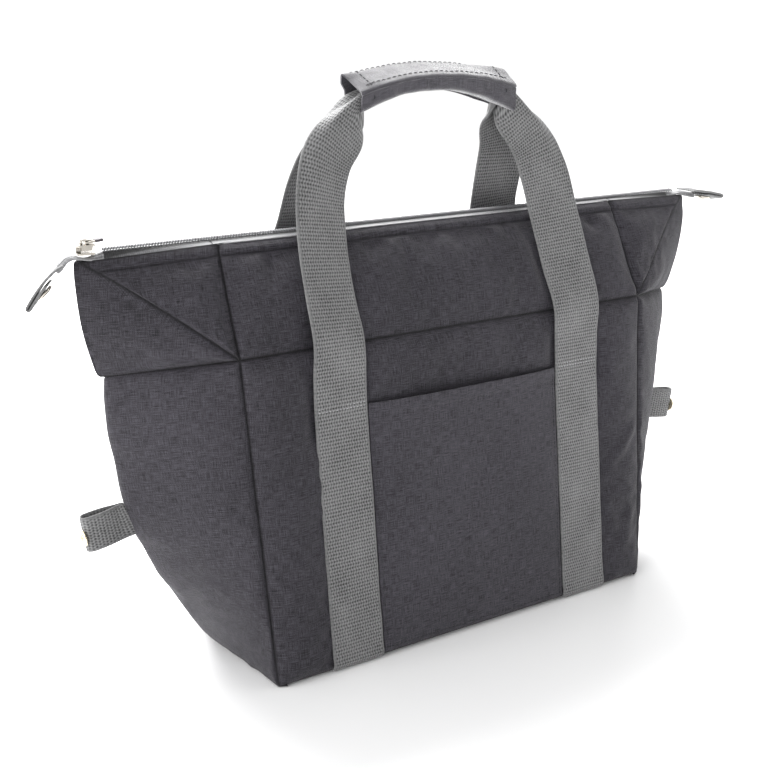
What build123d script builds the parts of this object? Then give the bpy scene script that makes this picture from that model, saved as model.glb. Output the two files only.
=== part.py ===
from build123d import *
import math
import os

# Insulated cooler bag with a tapering, zip-closed top. Millimetres, +Z up.
# X runs along the zip, the front faces -Y, and the origin is the centre of the base on the floor.

# Lower body: a padded box whose long walls lean in and whose ends swell out into a ridge.
BASE_HALF_X = 160.0
BASE_HALF_Y = 76.0
FOLD_HALF_X = 168.0
FOLD_HALF_Y = 46.0
FOLD_Z = 218.0
RIDGE_DROP = 10.0
RIDGE_LEVELS = [(0.0, 168.0), (36.0, 193.0), (67.0, 211.0), (97.0, 225.0), (124.0, 232.0), (165.0, 238.0)]
RIDGE_LEVELS += [(208.0, 240.0), (224.0, 240.6)]

# Padded wall, from the outside in.
COVER = 1.0
FOAM = 5.0
LINING = 0.6
WALL = COVER + FOAM + LINING
STIFFENER = 2.5
BASE_FOAM = 5.0
SEAM_GAP = 0.3

# Upper shell: two halves that hinge at the fold seam and meet at the zip.
TOP_Z = 287.5
HEM = 11.0
HEM_HALF_Y = 9.3
BAND_HALF_X = 166.0
TIP_X = 250.0
SPLIT_Y = 1.5
SLIDER_WAY_Y = 5.2
SLIDER_WAY_Z = 285.4

# Webbing handles, sewn to the lower walls up to the stitch line and free above it.
STRAP_X = 100.0
STRAP_WIDTH = 40.0
WEBBING = 2.0
STITCH_Z = 181.0
HANDLE_LEAN = {("front", "right"): 0.0, ("front", "left"): 0.0, ("back", "right"): 20.0, ("back", "left"): 9.0}
HANDLE_SECTIONS = [(97.0, -22.0, 290.0), (90.0, -12.0, 334.0), (78.0, -7.5, 356.0)]
GRIP_LEFT = -60.0
GRIP_HALF = 66.0
GRIP_Z = 383.0
GRIP_ARCH = 10.0
GRIP_HEIGHT = 24.0
GRIP_DEPTH = 26.0
GRIP_WALL = 1.5
RUN_HEIGHT = 18.0
RUN_DEPTH = 8.5

# Open-topped patch pocket between the front straps.
POCKET_HALF_X = 79.5
POCKET_TOP = 178.0
POCKET_FOOT = 4.0
POCKET_FABRIC = 1.2
POCKET_GAPE = 7.5
POCKET_HEM = 9.0

# Zip.
TAPE_HALF_X = 236.0
TAPE_IN = 0.9
TAPE_OUT = 8.7
TAPE = 1.0
COIL_IN = 0.8
COIL_OUT = 2.8
COIL = 2.0
STUB_HALF_Y = 4.0
STUB_SLOT_X = 252.0
STUB_END_X = 257.0
STUB_SAG = 6.0
STUB_END_HALF = 6.5
SLIDER_X = -246.0
SLIDER_LENGTH = 11.0
SLIDER_HALF_Y = 4.8
SLIDER_PLATE = 1.2
SLIDER_CLEAR = 0.3
POST_HALF_Y = 0.45
BRIDGE_LENGTH = 5.0
BRIDGE_RISE = 3.0
BRIDGE_HALF_Y = 1.2
BRIDGE_BAR = 1.0
PULL_LINK_R = 0.6
PULL_ARM = 5.2
PULL_LENGTH = 10.6
PULL_HALF_Y = 2.6
PULL_THICKNESS = 1.6
PULL_REST_DEG = 5.0

# Snap tabs on the zip ends and snap loops on the end ridges.
TAB_LENGTH = {"left": 35.0, "right": 35.0}
TAB_HALF_Y = 10.0
TAB_THICKNESS = 3.4
TAB_NECK = 4.0
TAB_NECK_THICKNESS = 1.2
TAB_GAP = 1.0
TAB_DROOP_DEG = {"left": 48.0, "right": 13.0}
TAB_TURN_DEG = {"left": 28.0, "right": 0.0}
SNAP_R = 6.0
SNAP_INSET = 12.0
SNAP_SOCKET = 2.4
LOOP_Z = 110.0
LOOP_ROOT_X = 230.8
LOOP_ROOT_LEAN_DEG = 14.5
LOOP_DROOP_DEG = 8.0
LOOP_LENGTH = 31.0
LOOP_HEIGHT = 25.0
LOOP_PLY = 1.6
LOOP_GAP = 5.2
STUD_PLATE = 1.2
STUD_R = 2.2
STUD_LENGTH = 3.0

FAR = 400.0


def save(shape, node):
    export_step(shape, f"parts/{node}.step")


def joined(pieces):
    return Compound(children=list(pieces)) if len(pieces) > 1 else pieces[0]


def other_side(shape):
    return mirror(shape, about=Plane.XZ)


def block(x0, x1, y0, y1, z0, z1):
    size = Box(x1 - x0, y1 - y0, z1 - z0)
    return Pos((x0 + x1) / 2, (y0 + y1) / 2, (z0 + z1) / 2) * size


def across(points, half_x, centre_x=0.0):
    """A YZ outline carried along X."""
    face = Face(Wire.make_polygon([(centre_x - half_x, y, z) for y, z in points]))
    return Solid.extrude(face, Vector(2 * half_x, 0, 0))


def along(points, half_y, centre_y=0.0):
    """An XZ outline carried along Y."""
    face = Face(Wire.make_polygon([(x, centre_y - half_y, z) for x, z in points]))
    return Solid.extrude(face, Vector(0, 2 * half_y, 0))


def strip(sections):
    """A flat bar through sections of (centre, half-width vector, half-thickness vector)."""
    wires = []
    for centre, wide, thick in sections:
        c, w, t = Vector(*centre), Vector(*wide), Vector(*thick)
        wires.append(Wire.make_polygon([c - w - t, c + w - t, c + w + t, c - w + t]))
    return Solid.make_loft(wires, ruled=True)


def behind(shape, point, normal):
    """What is left of a shape on the inner side of a plane."""
    return split(shape, bisect_by=Plane(origin=point, z_dir=normal), keep=Keep.BOTTOM)


# ---- lower body ----

def front_y(z):
    return -BASE_HALF_Y + (BASE_HALF_Y - FOLD_HALF_Y) * z / FOLD_Z


def corner_x(z):
    return BASE_HALF_X + (FOLD_HALF_X - BASE_HALF_X) * z / FOLD_Z


def inset(points, amount):
    """A convex outline, counter-clockwise, with every side moved in by the same amount."""
    lines = []
    for (x0, y0), (x1, y1) in zip(points, points[1:] + points[:1]):
        length = math.hypot(x1 - x0, y1 - y0)
        nx, ny = (y0 - y1) / length, (x1 - x0) / length
        lines.append((nx, ny, nx * x0 + ny * y0 + amount))
    corners = []
    for (a, b, c), (d, e, f) in zip(lines[-1:] + lines[:-1], lines):
        det = a * e - b * d
        corners.append(((c * e - b * f) / det, (a * f - c * d) / det))
    return corners


def outline(z, ridge_x, amount):
    y, x = front_y(z), corner_x(z)
    points = [(-x, y), (x, y), (ridge_x, 0.0), (x, -y), (-x, -y), (-ridge_x, 0.0)]
    return inset(points, amount)


def tub(amount):
    """The lower body's outside, drawn in by an amount and running past the fold seam."""
    wires = []
    for z, ridge_x in RIDGE_LEVELS:
        wires.append(Wire.make_polygon([(x, y, z) for x, y in outline(z, ridge_x, amount)]))
    return Solid.make_loft(wires, ruled=True)


def fold_profile(gap):
    """Everything above the fold seam: level over the long walls, falling to each ridge."""
    z = FOLD_Z + gap
    slope = RIDGE_DROP / (RIDGE_LEVELS[-2][1] - FOLD_HALF_X)
    low = z - slope * (FAR - FOLD_HALF_X)
    points = [(-FAR, low), (-FOLD_HALF_X, z), (FOLD_HALF_X, z), (FAR, low), (FAR, FAR), (-FAR, FAR)]
    return along(points, FAR)


def lower_layer(outer, inner):
    """One layer of the four walls, as front, back, right and left pieces."""
    ring = tub(outer) - tub(inner) - block(-FAR, FAR, -FAR, FAR, -1, COVER)
    ring = ring - fold_profile(-SEAM_GAP)
    foot = Vector(BASE_HALF_X, -BASE_HALF_Y, 0)
    head = Vector(FOLD_HALF_X, -FOLD_HALF_Y, FOLD_Z)
    normal = (head - foot).cross(Vector(-0.5, 0.8, 0))
    normal = normal if normal.X > 0 else -normal
    mirrored = [Vector(sx * foot.X, sy * foot.Y, 0) for sx in (1, -1) for sy in (1, -1)]
    normals = [Vector(sx * normal.X, sy * normal.Y, normal.Z) for sx in (1, -1) for sy in (1, -1)]
    front = behind(behind(ring, mirrored[0], normals[0]), mirrored[2], normals[2])
    front = front & block(-FAR, FAR, -FAR, 0, -1, FAR)
    right = behind(behind(ring, mirrored[0], -normals[0]), mirrored[1], -normals[1])
    right = right & block(0, FAR, -FAR, FAR, -1, FAR)
    return front, other_side(front), right, mirror(right, about=Plane.YZ)


def halves(side):
    """An end wall's foam in two slabs that meet on the ridge."""
    return joined([side & block(-FAR, FAR, -FAR, 0, -1, FAR), side & block(-FAR, FAR, 0, FAR, -1, FAR)])


def lower_body():
    layers = {"cover": (0, COVER), "foam": (COVER, COVER + FOAM), "lining": (COVER + FOAM, WALL)}
    for layer, (outer, inner) in layers.items():
        for place, piece in zip(("front", "back", "right", "left"), lower_layer(outer, inner)):
            split_piece = layer == "foam" and place in ("right", "left")
            save(halves(piece) if split_piece else piece, f"{place}_wall_{layer}")
    save(tub(0) & block(-FAR, FAR, -FAR, FAR, 0, COVER), "base_cover")
    well = tub(WALL + SEAM_GAP)
    z = COVER
    for node, thick in (("stiffener", STIFFENER), ("foam", BASE_FOAM), ("lining", LINING)):
        save(well & block(-FAR, FAR, -FAR, FAR, z, z + thick), f"base_{node}")
        z += thick


# ---- upper shell ----

def upper_half(amount, top):
    """The front half of the upper shell as a solid wedge, drawn in by an amount."""
    wedge = block(-FAR, FAR, -100, -SPLIT_Y, 190, top)
    corner = Vector(FOLD_HALF_X, -FOLD_HALF_Y, FOLD_Z)
    seam_top = Vector(BAND_HALF_X, -HEM_HALF_Y, TOP_Z)
    ridge = Vector(RIDGE_LEVELS[-2][1], -SPLIT_Y, FOLD_Z - RIDGE_DROP)
    tip = Vector(TIP_X, -SPLIT_Y, TOP_Z)
    wing = (tip - corner).cross(seam_top - corner).normalized()
    side = (ridge - corner).cross(tip - corner).normalized()
    band = Vector(0, -(TOP_Z - FOLD_Z), FOLD_HALF_Y - HEM_HALF_Y).normalized()
    wedge = behind(wedge, corner - band * amount, band)
    for sign in (1, -1):
        for normal in (wing, side):
            outward = Vector(sign * normal.X, normal.Y, normal.Z)
            place = Vector(sign * corner.X, corner.Y, corner.Z)
            wedge = behind(wedge, place - outward * amount, outward)
    crease = (tip - corner).cross(wing + side).normalized()
    crease = crease if crease.X > 0 else -crease
    return wedge & fold_profile(SEAM_GAP), corner, crease


def upper_layer(outer, inner, top):
    """One layer of the front half: band, then wings, each wing with and without its crease cut."""
    solid, corner, crease = upper_half(outer, top)
    hollow = upper_half(inner, top + 1)[0]
    sheet = solid - hollow
    sheet = sheet - block(-FAR, FAR, -SLIDER_WAY_Y, SLIDER_WAY_Y, SLIDER_WAY_Z, FAR)
    seam = Vector(TOP_Z - FOLD_Z, 0, FOLD_HALF_X - BAND_HALF_X).normalized()
    left_seam = Vector(-seam.X, 0, seam.Z)
    left_corner = Vector(-corner.X, corner.Y, corner.Z)
    band = behind(behind(sheet, corner, seam), left_corner, left_seam)
    right = behind(sheet, corner, -seam)
    facing = behind(right, corner, crease)
    gusset = behind(right, corner, -crease)
    return band, right, (facing, gusset)


def upper_shell():
    cover, wing, _ = upper_layer(0, COVER, TOP_Z)
    padding, _, padded_wing = upper_layer(COVER, COVER + FOAM, TOP_Z - HEM)
    inner, inner_wing, _ = upper_layer(COVER + FOAM, WALL, TOP_Z - HEM)
    both = [mirror(piece, about=Plane.YZ) for piece in padded_wing]
    foam = joined([padding, *padded_wing, *both])
    lining = joined([inner, inner_wing, mirror(inner_wing, about=Plane.YZ)])
    for place, turn in (("front", lambda shape: shape), ("back", other_side)):
        save(turn(cover), f"{place}_band_cover")
        save(turn(wing), f"{place}_right_wing_cover")
        save(turn(mirror(wing, about=Plane.YZ)), f"{place}_left_wing_cover")
        save(turn(foam), f"{place}_top_foam")
        save(turn(lining), f"{place}_top_lining")
        tape = block(-TAPE_HALF_X, TAPE_HALF_X, -TAPE_OUT, -TAPE_IN, TOP_Z, TOP_Z + TAPE)
        save(turn(tape), f"{place}_zip_tape")
        coil = block(-TAPE_HALF_X, TAPE_HALF_X, -COIL_OUT, -COIL_IN, TOP_Z + TAPE, TOP_Z + TAPE + COIL)
        coil = fillet(coil.edges().filter_by(Axis.X).group_by(Axis.Z)[-1], 0.7)
        save(turn(coil), f"{place}_zip_coil")


# ---- front pocket and sewn straps ----

def off_front(z, away):
    """A point of the front wall's slope at a height, stood off square to the wall."""
    rise, run = FOLD_Z, BASE_HALF_Y - FOLD_HALF_Y
    length = math.hypot(rise, run)
    return front_y(z) - away * rise / length, z + away * run / length


def pocket():
    outer = [off_front(POCKET_FOOT, 0.05), off_front(POCKET_FOOT, POCKET_FABRIC + 0.3)]
    outer += [off_front(POCKET_TOP, POCKET_GAPE), off_front(POCKET_TOP, 0.05)]
    foot = POCKET_FOOT + 2 * POCKET_FABRIC
    inner = [off_front(foot, 0.0), off_front(foot, 0.3)]
    inner += [off_front(POCKET_TOP + 1, POCKET_GAPE - POCKET_FABRIC), off_front(POCKET_TOP + 1, 0.0)]
    patch = across(outer, POCKET_HALF_X) - across(inner, POCKET_HALF_X - POCKET_FABRIC)
    save(patch, "front_pocket")
    share = (POCKET_TOP - POCKET_HEM - POCKET_FOOT) / (POCKET_TOP - POCKET_FOOT)
    low = POCKET_FABRIC + 0.3 + share * (POCKET_GAPE - POCKET_FABRIC - 0.3)
    hem = [off_front(POCKET_TOP - POCKET_HEM, low), off_front(POCKET_TOP, POCKET_GAPE)]
    hem += [off_front(POCKET_TOP, POCKET_GAPE + 1), off_front(POCKET_TOP - POCKET_HEM, low + 1)]
    save(across(hem, POCKET_HALF_X), "front_pocket_hem")


def sewn_straps():
    profile = [off_front(0.0, 0.05), off_front(STITCH_Z, 0.05)]
    profile += [off_front(STITCH_Z, WEBBING), off_front(0.0, WEBBING)]
    for side, x in (("right", STRAP_X), ("left", -STRAP_X)):
        strap = across(profile, STRAP_WIDTH / 2, x)
        save(strap, f"front_{side}_sewn_strap")
        save(other_side(strap), f"back_{side}_sewn_strap")


# ---- handles ----

def grip_z(x):
    return GRIP_Z - GRIP_ARCH * (x / GRIP_HALF) ** 2


def strap_leg(lean, grip_end):
    """A front right free strap: flat on the wall, then turning, leaning and folding towards the grip's end."""
    foot_y, foot_z = off_front(STITCH_Z + 0.5, 1.4)
    fold_y, fold_z = off_front(FOLD_Z - 2, 2.6)
    zip_place, turn_place, fold_place = HANDLE_SECTIONS
    short = GRIP_HALF - grip_end
    end_z = grip_z(grip_end) + 1
    sections = [
        ((STRAP_X, foot_y, foot_z), (20, 0, 0), (0, 0.95, 0)),
        ((STRAP_X, fold_y, fold_z), (20, 0, 0), (0, 1.0, 0)),
        ((zip_place[0] - lean, *zip_place[1:]), (19.5, 0, 0), (0, 1.1, 0)),
        ((turn_place[0] - 0.6 * lean - 0.3 * short, *turn_place[1:]), (17.0, 0, -6.0), (0, 1.6, 0)),
        ((fold_place[0] - 0.7 * short, *fold_place[1:]), (11.0, 0, -9.0), (0, 2.6, 0)),
        ((grip_end + 1.0, -5.3, end_z), (2.0, 0, -8.2), (0, 3.8, 0)),
    ]
    return strip(sections)


def arched(y0, y1, low, high, left, right):
    """A bar along X that follows the grip's arch."""
    steps = 6
    sections = []
    for i in range(steps + 1):
        x = left + (right - left) * i / steps
        z = grip_z(x) + (low + high) / 2
        sections.append(((x, (y0 + y1) / 2, z), (0, (y1 - y0) / 2, 0), (0, 0, (high - low) / 2)))
    return strip(sections)


def handles():
    half = RUN_HEIGHT / 2
    run = arched(-1 - RUN_DEPTH, -1, -half, half, GRIP_LEFT + 1, GRIP_HALF - 1)
    for place in ("front", "back"):
        for side in ("right", "left"):
            leg = strap_leg(HANDLE_LEAN[place, side], GRIP_HALF if side == "right" else -GRIP_LEFT)
            leg = leg if side == "right" else mirror(leg, about=Plane.YZ)
            save(leg if place == "front" else other_side(leg), f"{place}_{side}_handle_strap")
        save(run if place == "front" else other_side(run), f"{place}_handle_grip_run")


def grip():
    """The wrap round both handles: front and underside sewn to the front one, top and back a flap."""
    half_y, half_z = GRIP_DEPTH / 2, GRIP_HEIGHT / 2
    wall = GRIP_WALL
    ends = (GRIP_LEFT, GRIP_HALF)
    front = arched(-half_y, -half_y + wall, -half_z, half_z - wall - SEAM_GAP, *ends)
    under = arched(-half_y, half_y - wall - SEAM_GAP, -half_z, -half_z + wall, *ends)
    save(front + under, "grip_wrap")
    top = arched(-half_y, half_y, half_z - wall, half_z, *ends)
    back = arched(half_y - wall, half_y, -half_z, half_z, *ends)
    save(top + back, "grip_flap")


# ---- zip ends, slider and pull ----

def zip_stub(droop, turn):
    """A zip end, right-hand: the two tapes closed together, slotted where the slider parks."""
    z = TOP_Z + TAPE / 2
    start = TAPE_HALF_X + SEAM_GAP
    flat = block(start, STUB_SLOT_X, -STUB_HALF_Y, STUB_HALF_Y, TOP_Z, TOP_Z + TAPE)
    flat = flat - block(start - 1, STUB_SLOT_X - 0.5, -TAPE_IN, TAPE_IN, TOP_Z - 1, TOP_Z + 2)
    sag = STUB_SAG * droop / max(TAB_DROOP_DEG.values())
    tail = strip([
        ((STUB_SLOT_X, 0, z), (0, STUB_HALF_Y, 0), (0, 0, TAPE / 2)),
        ((STUB_END_X, 0, z - sag), (-STUB_END_HALF * math.sin(turn), STUB_END_HALF * math.cos(turn), 0), (0, 0, 1.4)),
    ])
    return flat + tail, Vector(STUB_END_X, 0, z - sag)


def zip_tab(side):
    """A folded webbing tab past one zip end, with its snap socket underneath."""
    droop, length = TAB_DROOP_DEG[side], TAB_LENGTH[side]
    stub, root = zip_stub(droop, math.radians(TAB_TURN_DEG[side]))
    lie = Pos(root.X + TAB_GAP, 0, root.Z) * Rot(0, 0, TAB_TURN_DEG[side]) * Rot(0, droop, 0)
    thick, thin = TAB_THICKNESS / 2, TAB_NECK_THICKNESS / 2
    tab = block(TAB_NECK, length, -TAB_HALF_Y, TAB_HALF_Y, -thick, thick)
    tab = fillet(tab.edges().filter_by(Axis.Y).group_by(Axis.X)[-1], 1.5)
    tab = tab + block(0, TAB_NECK + 1, -TAB_HALF_Y, TAB_HALF_Y, -thin, thin)
    socket_z = -TAB_THICKNESS / 2 - SNAP_SOCKET / 2
    socket = Pos(length - SNAP_INSET, 0, socket_z) * Cylinder(SNAP_R, SNAP_SOCKET)
    dimple_depth = 1.4
    dimple = Pos(length - SNAP_INSET, 0, socket_z - SNAP_SOCKET / 2 + dimple_depth / 2)
    socket = socket - dimple * Cylinder(STUD_R + 0.3, dimple_depth)
    pieces = {"zip_end": stub, "tab_webbing": lie * tab, "tab_snap_socket": lie * socket}
    for name, piece in pieces.items():
        save(piece if side == "right" else mirror(piece, about=Plane.YZ), f"{side}_{name}")


def slider():
    half = SLIDER_LENGTH / 2
    tape_top = TOP_Z + TAPE
    top = tape_top + COIL + SLIDER_CLEAR
    upper = block(-half, half, -SLIDER_HALF_Y, SLIDER_HALF_Y, top, top + SLIDER_PLATE)
    upper = fillet(upper.edges().filter_by(Axis.Z), 2.0)
    rail_in = COIL_OUT + SLIDER_CLEAR
    rail = block(-half + 2, half - 2, rail_in, SLIDER_HALF_Y, tape_top + SLIDER_CLEAR, top + 0.1)
    low = TOP_Z - SLIDER_CLEAR - SLIDER_PLATE
    lower = block(-half, half, -SLIDER_HALF_Y, SLIDER_HALF_Y, low, low + SLIDER_PLATE)
    lower = fillet(lower.edges().filter_by(Axis.Z), 2.0)
    post = block(-half, -half + 3, -POST_HALF_Y, POST_HALF_Y, low + 0.1, top + 0.1)
    body = upper + rail + other_side(rail) + post + lower
    crown = top + SLIDER_PLATE + BRIDGE_RISE
    reach = BRIDGE_LENGTH / 2
    arch = block(-reach, reach, -BRIDGE_HALF_Y, BRIDGE_HALF_Y, top + SLIDER_PLATE, crown)
    arch = fillet(arch.edges().filter_by(Axis.Y).group_by(Axis.Z)[-1], 1.4)
    void = block(-reach + BRIDGE_BAR, reach - BRIDGE_BAR, -5, 5, top, crown - BRIDGE_BAR)
    arch = arch - fillet(void.edges().filter_by(Axis.Y).group_by(Axis.Z)[-1], 0.7)
    place = Pos(SLIDER_X, 0, 0)
    save(place * body, "zip_slider_body")
    save(place * arch, "zip_slider_bridge")
    axle_z = crown - BRIDGE_BAR - PULL_LINK_R - 0.3
    pull_parts(Pos(SLIDER_X + 0.8, 0, axle_z) * Rot(0, -PULL_REST_DEG, 0))


def pull_parts(place):
    """The pull lies towards +X: a wire link through the bridge carries a moulded tab."""
    inner = BRIDGE_HALF_Y + 0.4
    bar = Rot(90, 0, 0) * Cylinder(PULL_LINK_R, 2 * PULL_HALF_Y)
    arm = block(-PULL_LINK_R, PULL_ARM, inner, PULL_HALF_Y, -PULL_LINK_R, PULL_LINK_R)
    cross = block(PULL_ARM - 2 * PULL_LINK_R, PULL_ARM, -PULL_HALF_Y, PULL_HALF_Y, -PULL_LINK_R, PULL_LINK_R)
    save(place * (bar + arm + other_side(arm) + cross), "zip_pull_link")
    half = PULL_THICKNESS / 2
    tab = block(PULL_ARM, PULL_LENGTH, -PULL_HALF_Y, PULL_HALF_Y, -half, half)
    save(place * fillet(tab.edges().filter_by(Axis.Z), 1.0), "zip_pull_tab")


# ---- side loops ----

def side_loop():
    """A folded webbing loop on the right-hand ridge, open from top to bottom, stud at its tip."""
    half = LOOP_GAP / 2
    outer = half + LOOP_PLY
    straight = LOOP_LENGTH - outer
    root = block(-8, 10, -LOOP_PLY, LOOP_PLY, -LOOP_HEIGHT / 2, LOOP_HEIGHT / 2)
    bight = block(10, straight, -outer, outer, -LOOP_HEIGHT / 2, LOOP_HEIGHT / 2)
    bight = bight + Pos(straight, 0, 0) * Cylinder(outer, LOOP_HEIGHT)
    bight = bight & block(10, LOOP_LENGTH - 0.4, -outer, outer, -LOOP_HEIGHT, LOOP_HEIGHT)
    void = block(10 + LOOP_PLY, straight, -half, half, -LOOP_HEIGHT, LOOP_HEIGHT)
    void = void + Pos(straight, 0, 0) * Cylinder(half, 2 * LOOP_HEIGHT)
    loop = root + (bight - void)
    turn = Rot(0, 90, 0)
    plate = Pos(LOOP_LENGTH - 0.4 + STUD_PLATE / 2, 0, -2) * turn * Cylinder(SNAP_R, STUD_PLATE)
    pin_x = LOOP_LENGTH - 0.4 + STUD_PLATE + STUD_LENGTH / 2
    pin = Pos(pin_x, 0, -2) * turn * Cylinder(STUD_R, STUD_LENGTH)
    pin = fillet(pin.edges().group_by(Axis.X)[-1], 0.8)
    place = Pos(LOOP_ROOT_X, 0, LOOP_Z) * Rot(0, LOOP_DROOP_DEG, 0)
    lean = math.radians(LOOP_ROOT_LEAN_DEG)
    inward = Vector(-math.cos(lean), 0, math.sin(lean))
    loop = behind(place * loop, Vector(LOOP_ROOT_X, 0, LOOP_Z), inward)
    return loop, place * (plate + pin)


def side_loops():
    loop, stud = side_loop()
    for side in ("right", "left"):
        for piece, node in ((loop, "side_loop"), (stud, "loop_stud")):
            save(piece if side == "right" else mirror(piece, about=Plane.YZ), f"{side}_{node}")


os.makedirs("parts", exist_ok=True)
lower_body()
upper_shell()
pocket()
sewn_straps()
handles()
grip()
zip_tab("left")
zip_tab("right")
slider()
side_loops()
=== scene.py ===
import math

import bpy
import numpy as np
from mathutils import Matrix, Vector, noise


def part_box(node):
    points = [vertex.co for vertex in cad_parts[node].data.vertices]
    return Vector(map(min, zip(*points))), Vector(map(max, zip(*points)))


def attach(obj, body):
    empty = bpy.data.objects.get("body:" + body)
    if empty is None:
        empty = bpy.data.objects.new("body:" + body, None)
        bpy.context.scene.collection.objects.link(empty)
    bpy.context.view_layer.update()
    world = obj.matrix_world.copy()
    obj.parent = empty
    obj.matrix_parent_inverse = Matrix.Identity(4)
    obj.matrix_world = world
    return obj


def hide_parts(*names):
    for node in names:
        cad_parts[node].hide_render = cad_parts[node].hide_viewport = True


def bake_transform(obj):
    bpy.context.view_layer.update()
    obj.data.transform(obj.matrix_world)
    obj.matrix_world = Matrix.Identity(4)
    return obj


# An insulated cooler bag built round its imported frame. Metres; X runs along the zip, the front faces -Y.
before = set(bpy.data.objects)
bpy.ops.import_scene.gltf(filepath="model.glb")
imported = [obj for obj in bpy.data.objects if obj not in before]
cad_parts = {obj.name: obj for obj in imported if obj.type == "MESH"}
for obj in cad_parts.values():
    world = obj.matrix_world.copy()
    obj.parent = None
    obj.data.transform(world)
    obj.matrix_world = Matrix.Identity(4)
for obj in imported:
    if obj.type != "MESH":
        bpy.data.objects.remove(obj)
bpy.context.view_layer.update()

# Places read from the frame.
FOLD_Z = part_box("front_band_cover")[0].z
TOP_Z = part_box("front_band_cover")[1].z
FOLD_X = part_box("front_wall_cover")[1].x
BASE_Y = -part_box("front_wall_cover")[0].y
RIDGE_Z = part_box("front_right_wing_cover")[0].z
TAPE_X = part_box("front_zip_tape")[1].x
TAPE_OUT = -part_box("front_zip_tape")[0].y
TAPE_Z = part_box("front_zip_tape")[1].z
STITCH_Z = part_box("front_right_sewn_strap")[1].z
STRAP_LOW, STRAP_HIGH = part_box("front_right_sewn_strap")
STRAP_X = (STRAP_LOW.x + STRAP_HIGH.x) / 2
STRAP_HALF = (STRAP_HIGH.x - STRAP_LOW.x) / 2
POCKET_LOW, POCKET_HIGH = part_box("front_pocket")
GRIP_LOW, GRIP_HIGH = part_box("grip_flap")

# The bag's own proportions, in metres.
FOLD_Y = 0.046
BASE_X = 0.160
BAND_X = 0.166
TIP = (0.2525, -0.0035, TOP_Z - 0.002)
HEM_Y = TAPE_OUT + 0.0008
HEM = 0.0078
BAND_SLOPE = math.hypot(FOLD_Y - HEM_Y, TOP_Z - FOLD_Z)
HEM_SHARE = 1 - HEM / BAND_SLOPE
PAD = 0.0058
THIN_PAD = 0.0022
CELL = 0.0045
SEAM_DEPTH = 0.0036
GROOVE = 0.0022
PUFF_CAP = 0.0045
# Each end ridge's reach at a few heights.
SWELL = [(0.0, 0.168), (0.036, 0.193), (0.067, 0.211), (0.097, 0.225), (0.124, 0.233), (0.165, 0.240),
         (0.208, 0.2435)]
# The right end is drawn in by DRAW_IN, from DRAW_FROM outwards over DRAW_RUN.
DRAW_IN = 0.0052
DRAW_FROM = 0.185
DRAW_RUN = 0.055
WEBBING = 0.0018
GRIP_HALF = GRIP_HIGH.x
GRIP_LEFT = GRIP_LOW.x
GRIP_MID_Z = GRIP_HIGH.z - 0.012
GRIP_ARCH = 0.010
TAB_X = 0.258
TAB_DROOP = {"left": 48.0, "right": 13.0}
TAB_YAW = {"left": 28.0, "right": 0.0}
TAB_LENGTH = {"left": 0.034, "right": 0.034}
TAB_ROLL = {"left": 0.0, "right": math.radians(12)}
SNAP_INSET = 0.011
STRAP_LEAN = {("front", "right"): 0.0, ("front", "left"): 0.0,
              ("back", "right"): 0.020, ("back", "left"): 0.009}
STRAP_TILT = {"front": -0.18, "back": 0.08}
STRAP_WIDTH = 0.040
TAB_HALF = 0.010
COIL_DROP = 0.0013
TAPE_DROP = 0.0016
LOOP_Z = 0.110
LOOP_HEIGHT = 0.025
LOOP_DROOP = math.radians(8)
LOOP_TIP = 0.0262
GRIP_STATIONS = 56
POCKET_HEM_SHARE = 0.942
HANDS = (("right", 1), ("left", -1))
TURN = math.tau

# The camera's view of the bag.
LENS = 56.8
EYE = (-0.4772, -0.6972, 0.4364)
AIM = (-0.0286, 0.0075, 0.1662)
ROLL = 0.5


# ---- materials ----

def material(name):
    """A new node material: (material, its tree, its shader)."""
    mat = bpy.data.materials.new(name)
    mat.use_nodes = True
    return mat, mat.node_tree, mat.node_tree.nodes["Principled BSDF"]


def node(tree, kind, inputs=(), **settings):
    made = tree.nodes.new(kind)
    for key, value in settings.items():
        setattr(made, key, value)
    for socket, value in dict(inputs).items():
        if isinstance(value, bpy.types.NodeSocket):
            tree.links.new(value, made.inputs[socket])
        else:
            made.inputs[socket].default_value = value
    return made


def maths(tree, operation, a, b=0.0):
    made = node(tree, "ShaderNodeMath", operation=operation)
    for i, value in enumerate((a, b)):
        if isinstance(value, bpy.types.NodeSocket):
            tree.links.new(value, made.inputs[i])
        else:
            made.inputs[i].default_value = value
    return made.outputs[0]


def ramp(tree, factor, stops):
    made = node(tree, "ShaderNodeValToRGB", {"Fac": factor})
    for i, (place, colour) in enumerate(stops):
        if i < 2:
            made.color_ramp.elements[i].position = place
            made.color_ramp.elements[i].color = (*colour, 1)
        else:
            made.color_ramp.elements.new(place).color = (*colour, 1)
    return made.outputs["Color"]


def clamped(tree, value):
    return node(tree, "ShaderNodeClamp", {"Value": value}).outputs[0]


def weighted(tree, *terms):
    """The sum of some values, each times its own weight."""
    total = maths(tree, "MULTIPLY", *terms[0])
    for value, weight in terms[1:]:
        total = maths(tree, "ADD", total, maths(tree, "MULTIPLY", value, weight))
    return total


def with_painted_shade(tree, colour, painted_shade):
    inputs = {"Fac": 1.0, "Color1": colour, "Color2": painted_shade}
    return node(tree, "ShaderNodeMixRGB", inputs, blend_type="MULTIPLY").outputs[0]


def relief(tree, shader, height, strength, depth):
    """Fine relief on a material, from a height that varies by about one, depth in metres."""
    bump = node(tree, "ShaderNodeBump", {"Strength": strength, "Distance": depth, "Height": height})
    tree.links.new(bump.outputs[0], shader.inputs["Normal"])


def edge_metres(tree):
    """How far a point is from its piece's nearest edge or seam, from edge_map."""
    place = node(tree, "ShaderNodeUVMap", uv_map="edge")
    return node(tree, "ShaderNodeSeparateXYZ", {0: place.outputs[0]}).outputs["X"]


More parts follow.
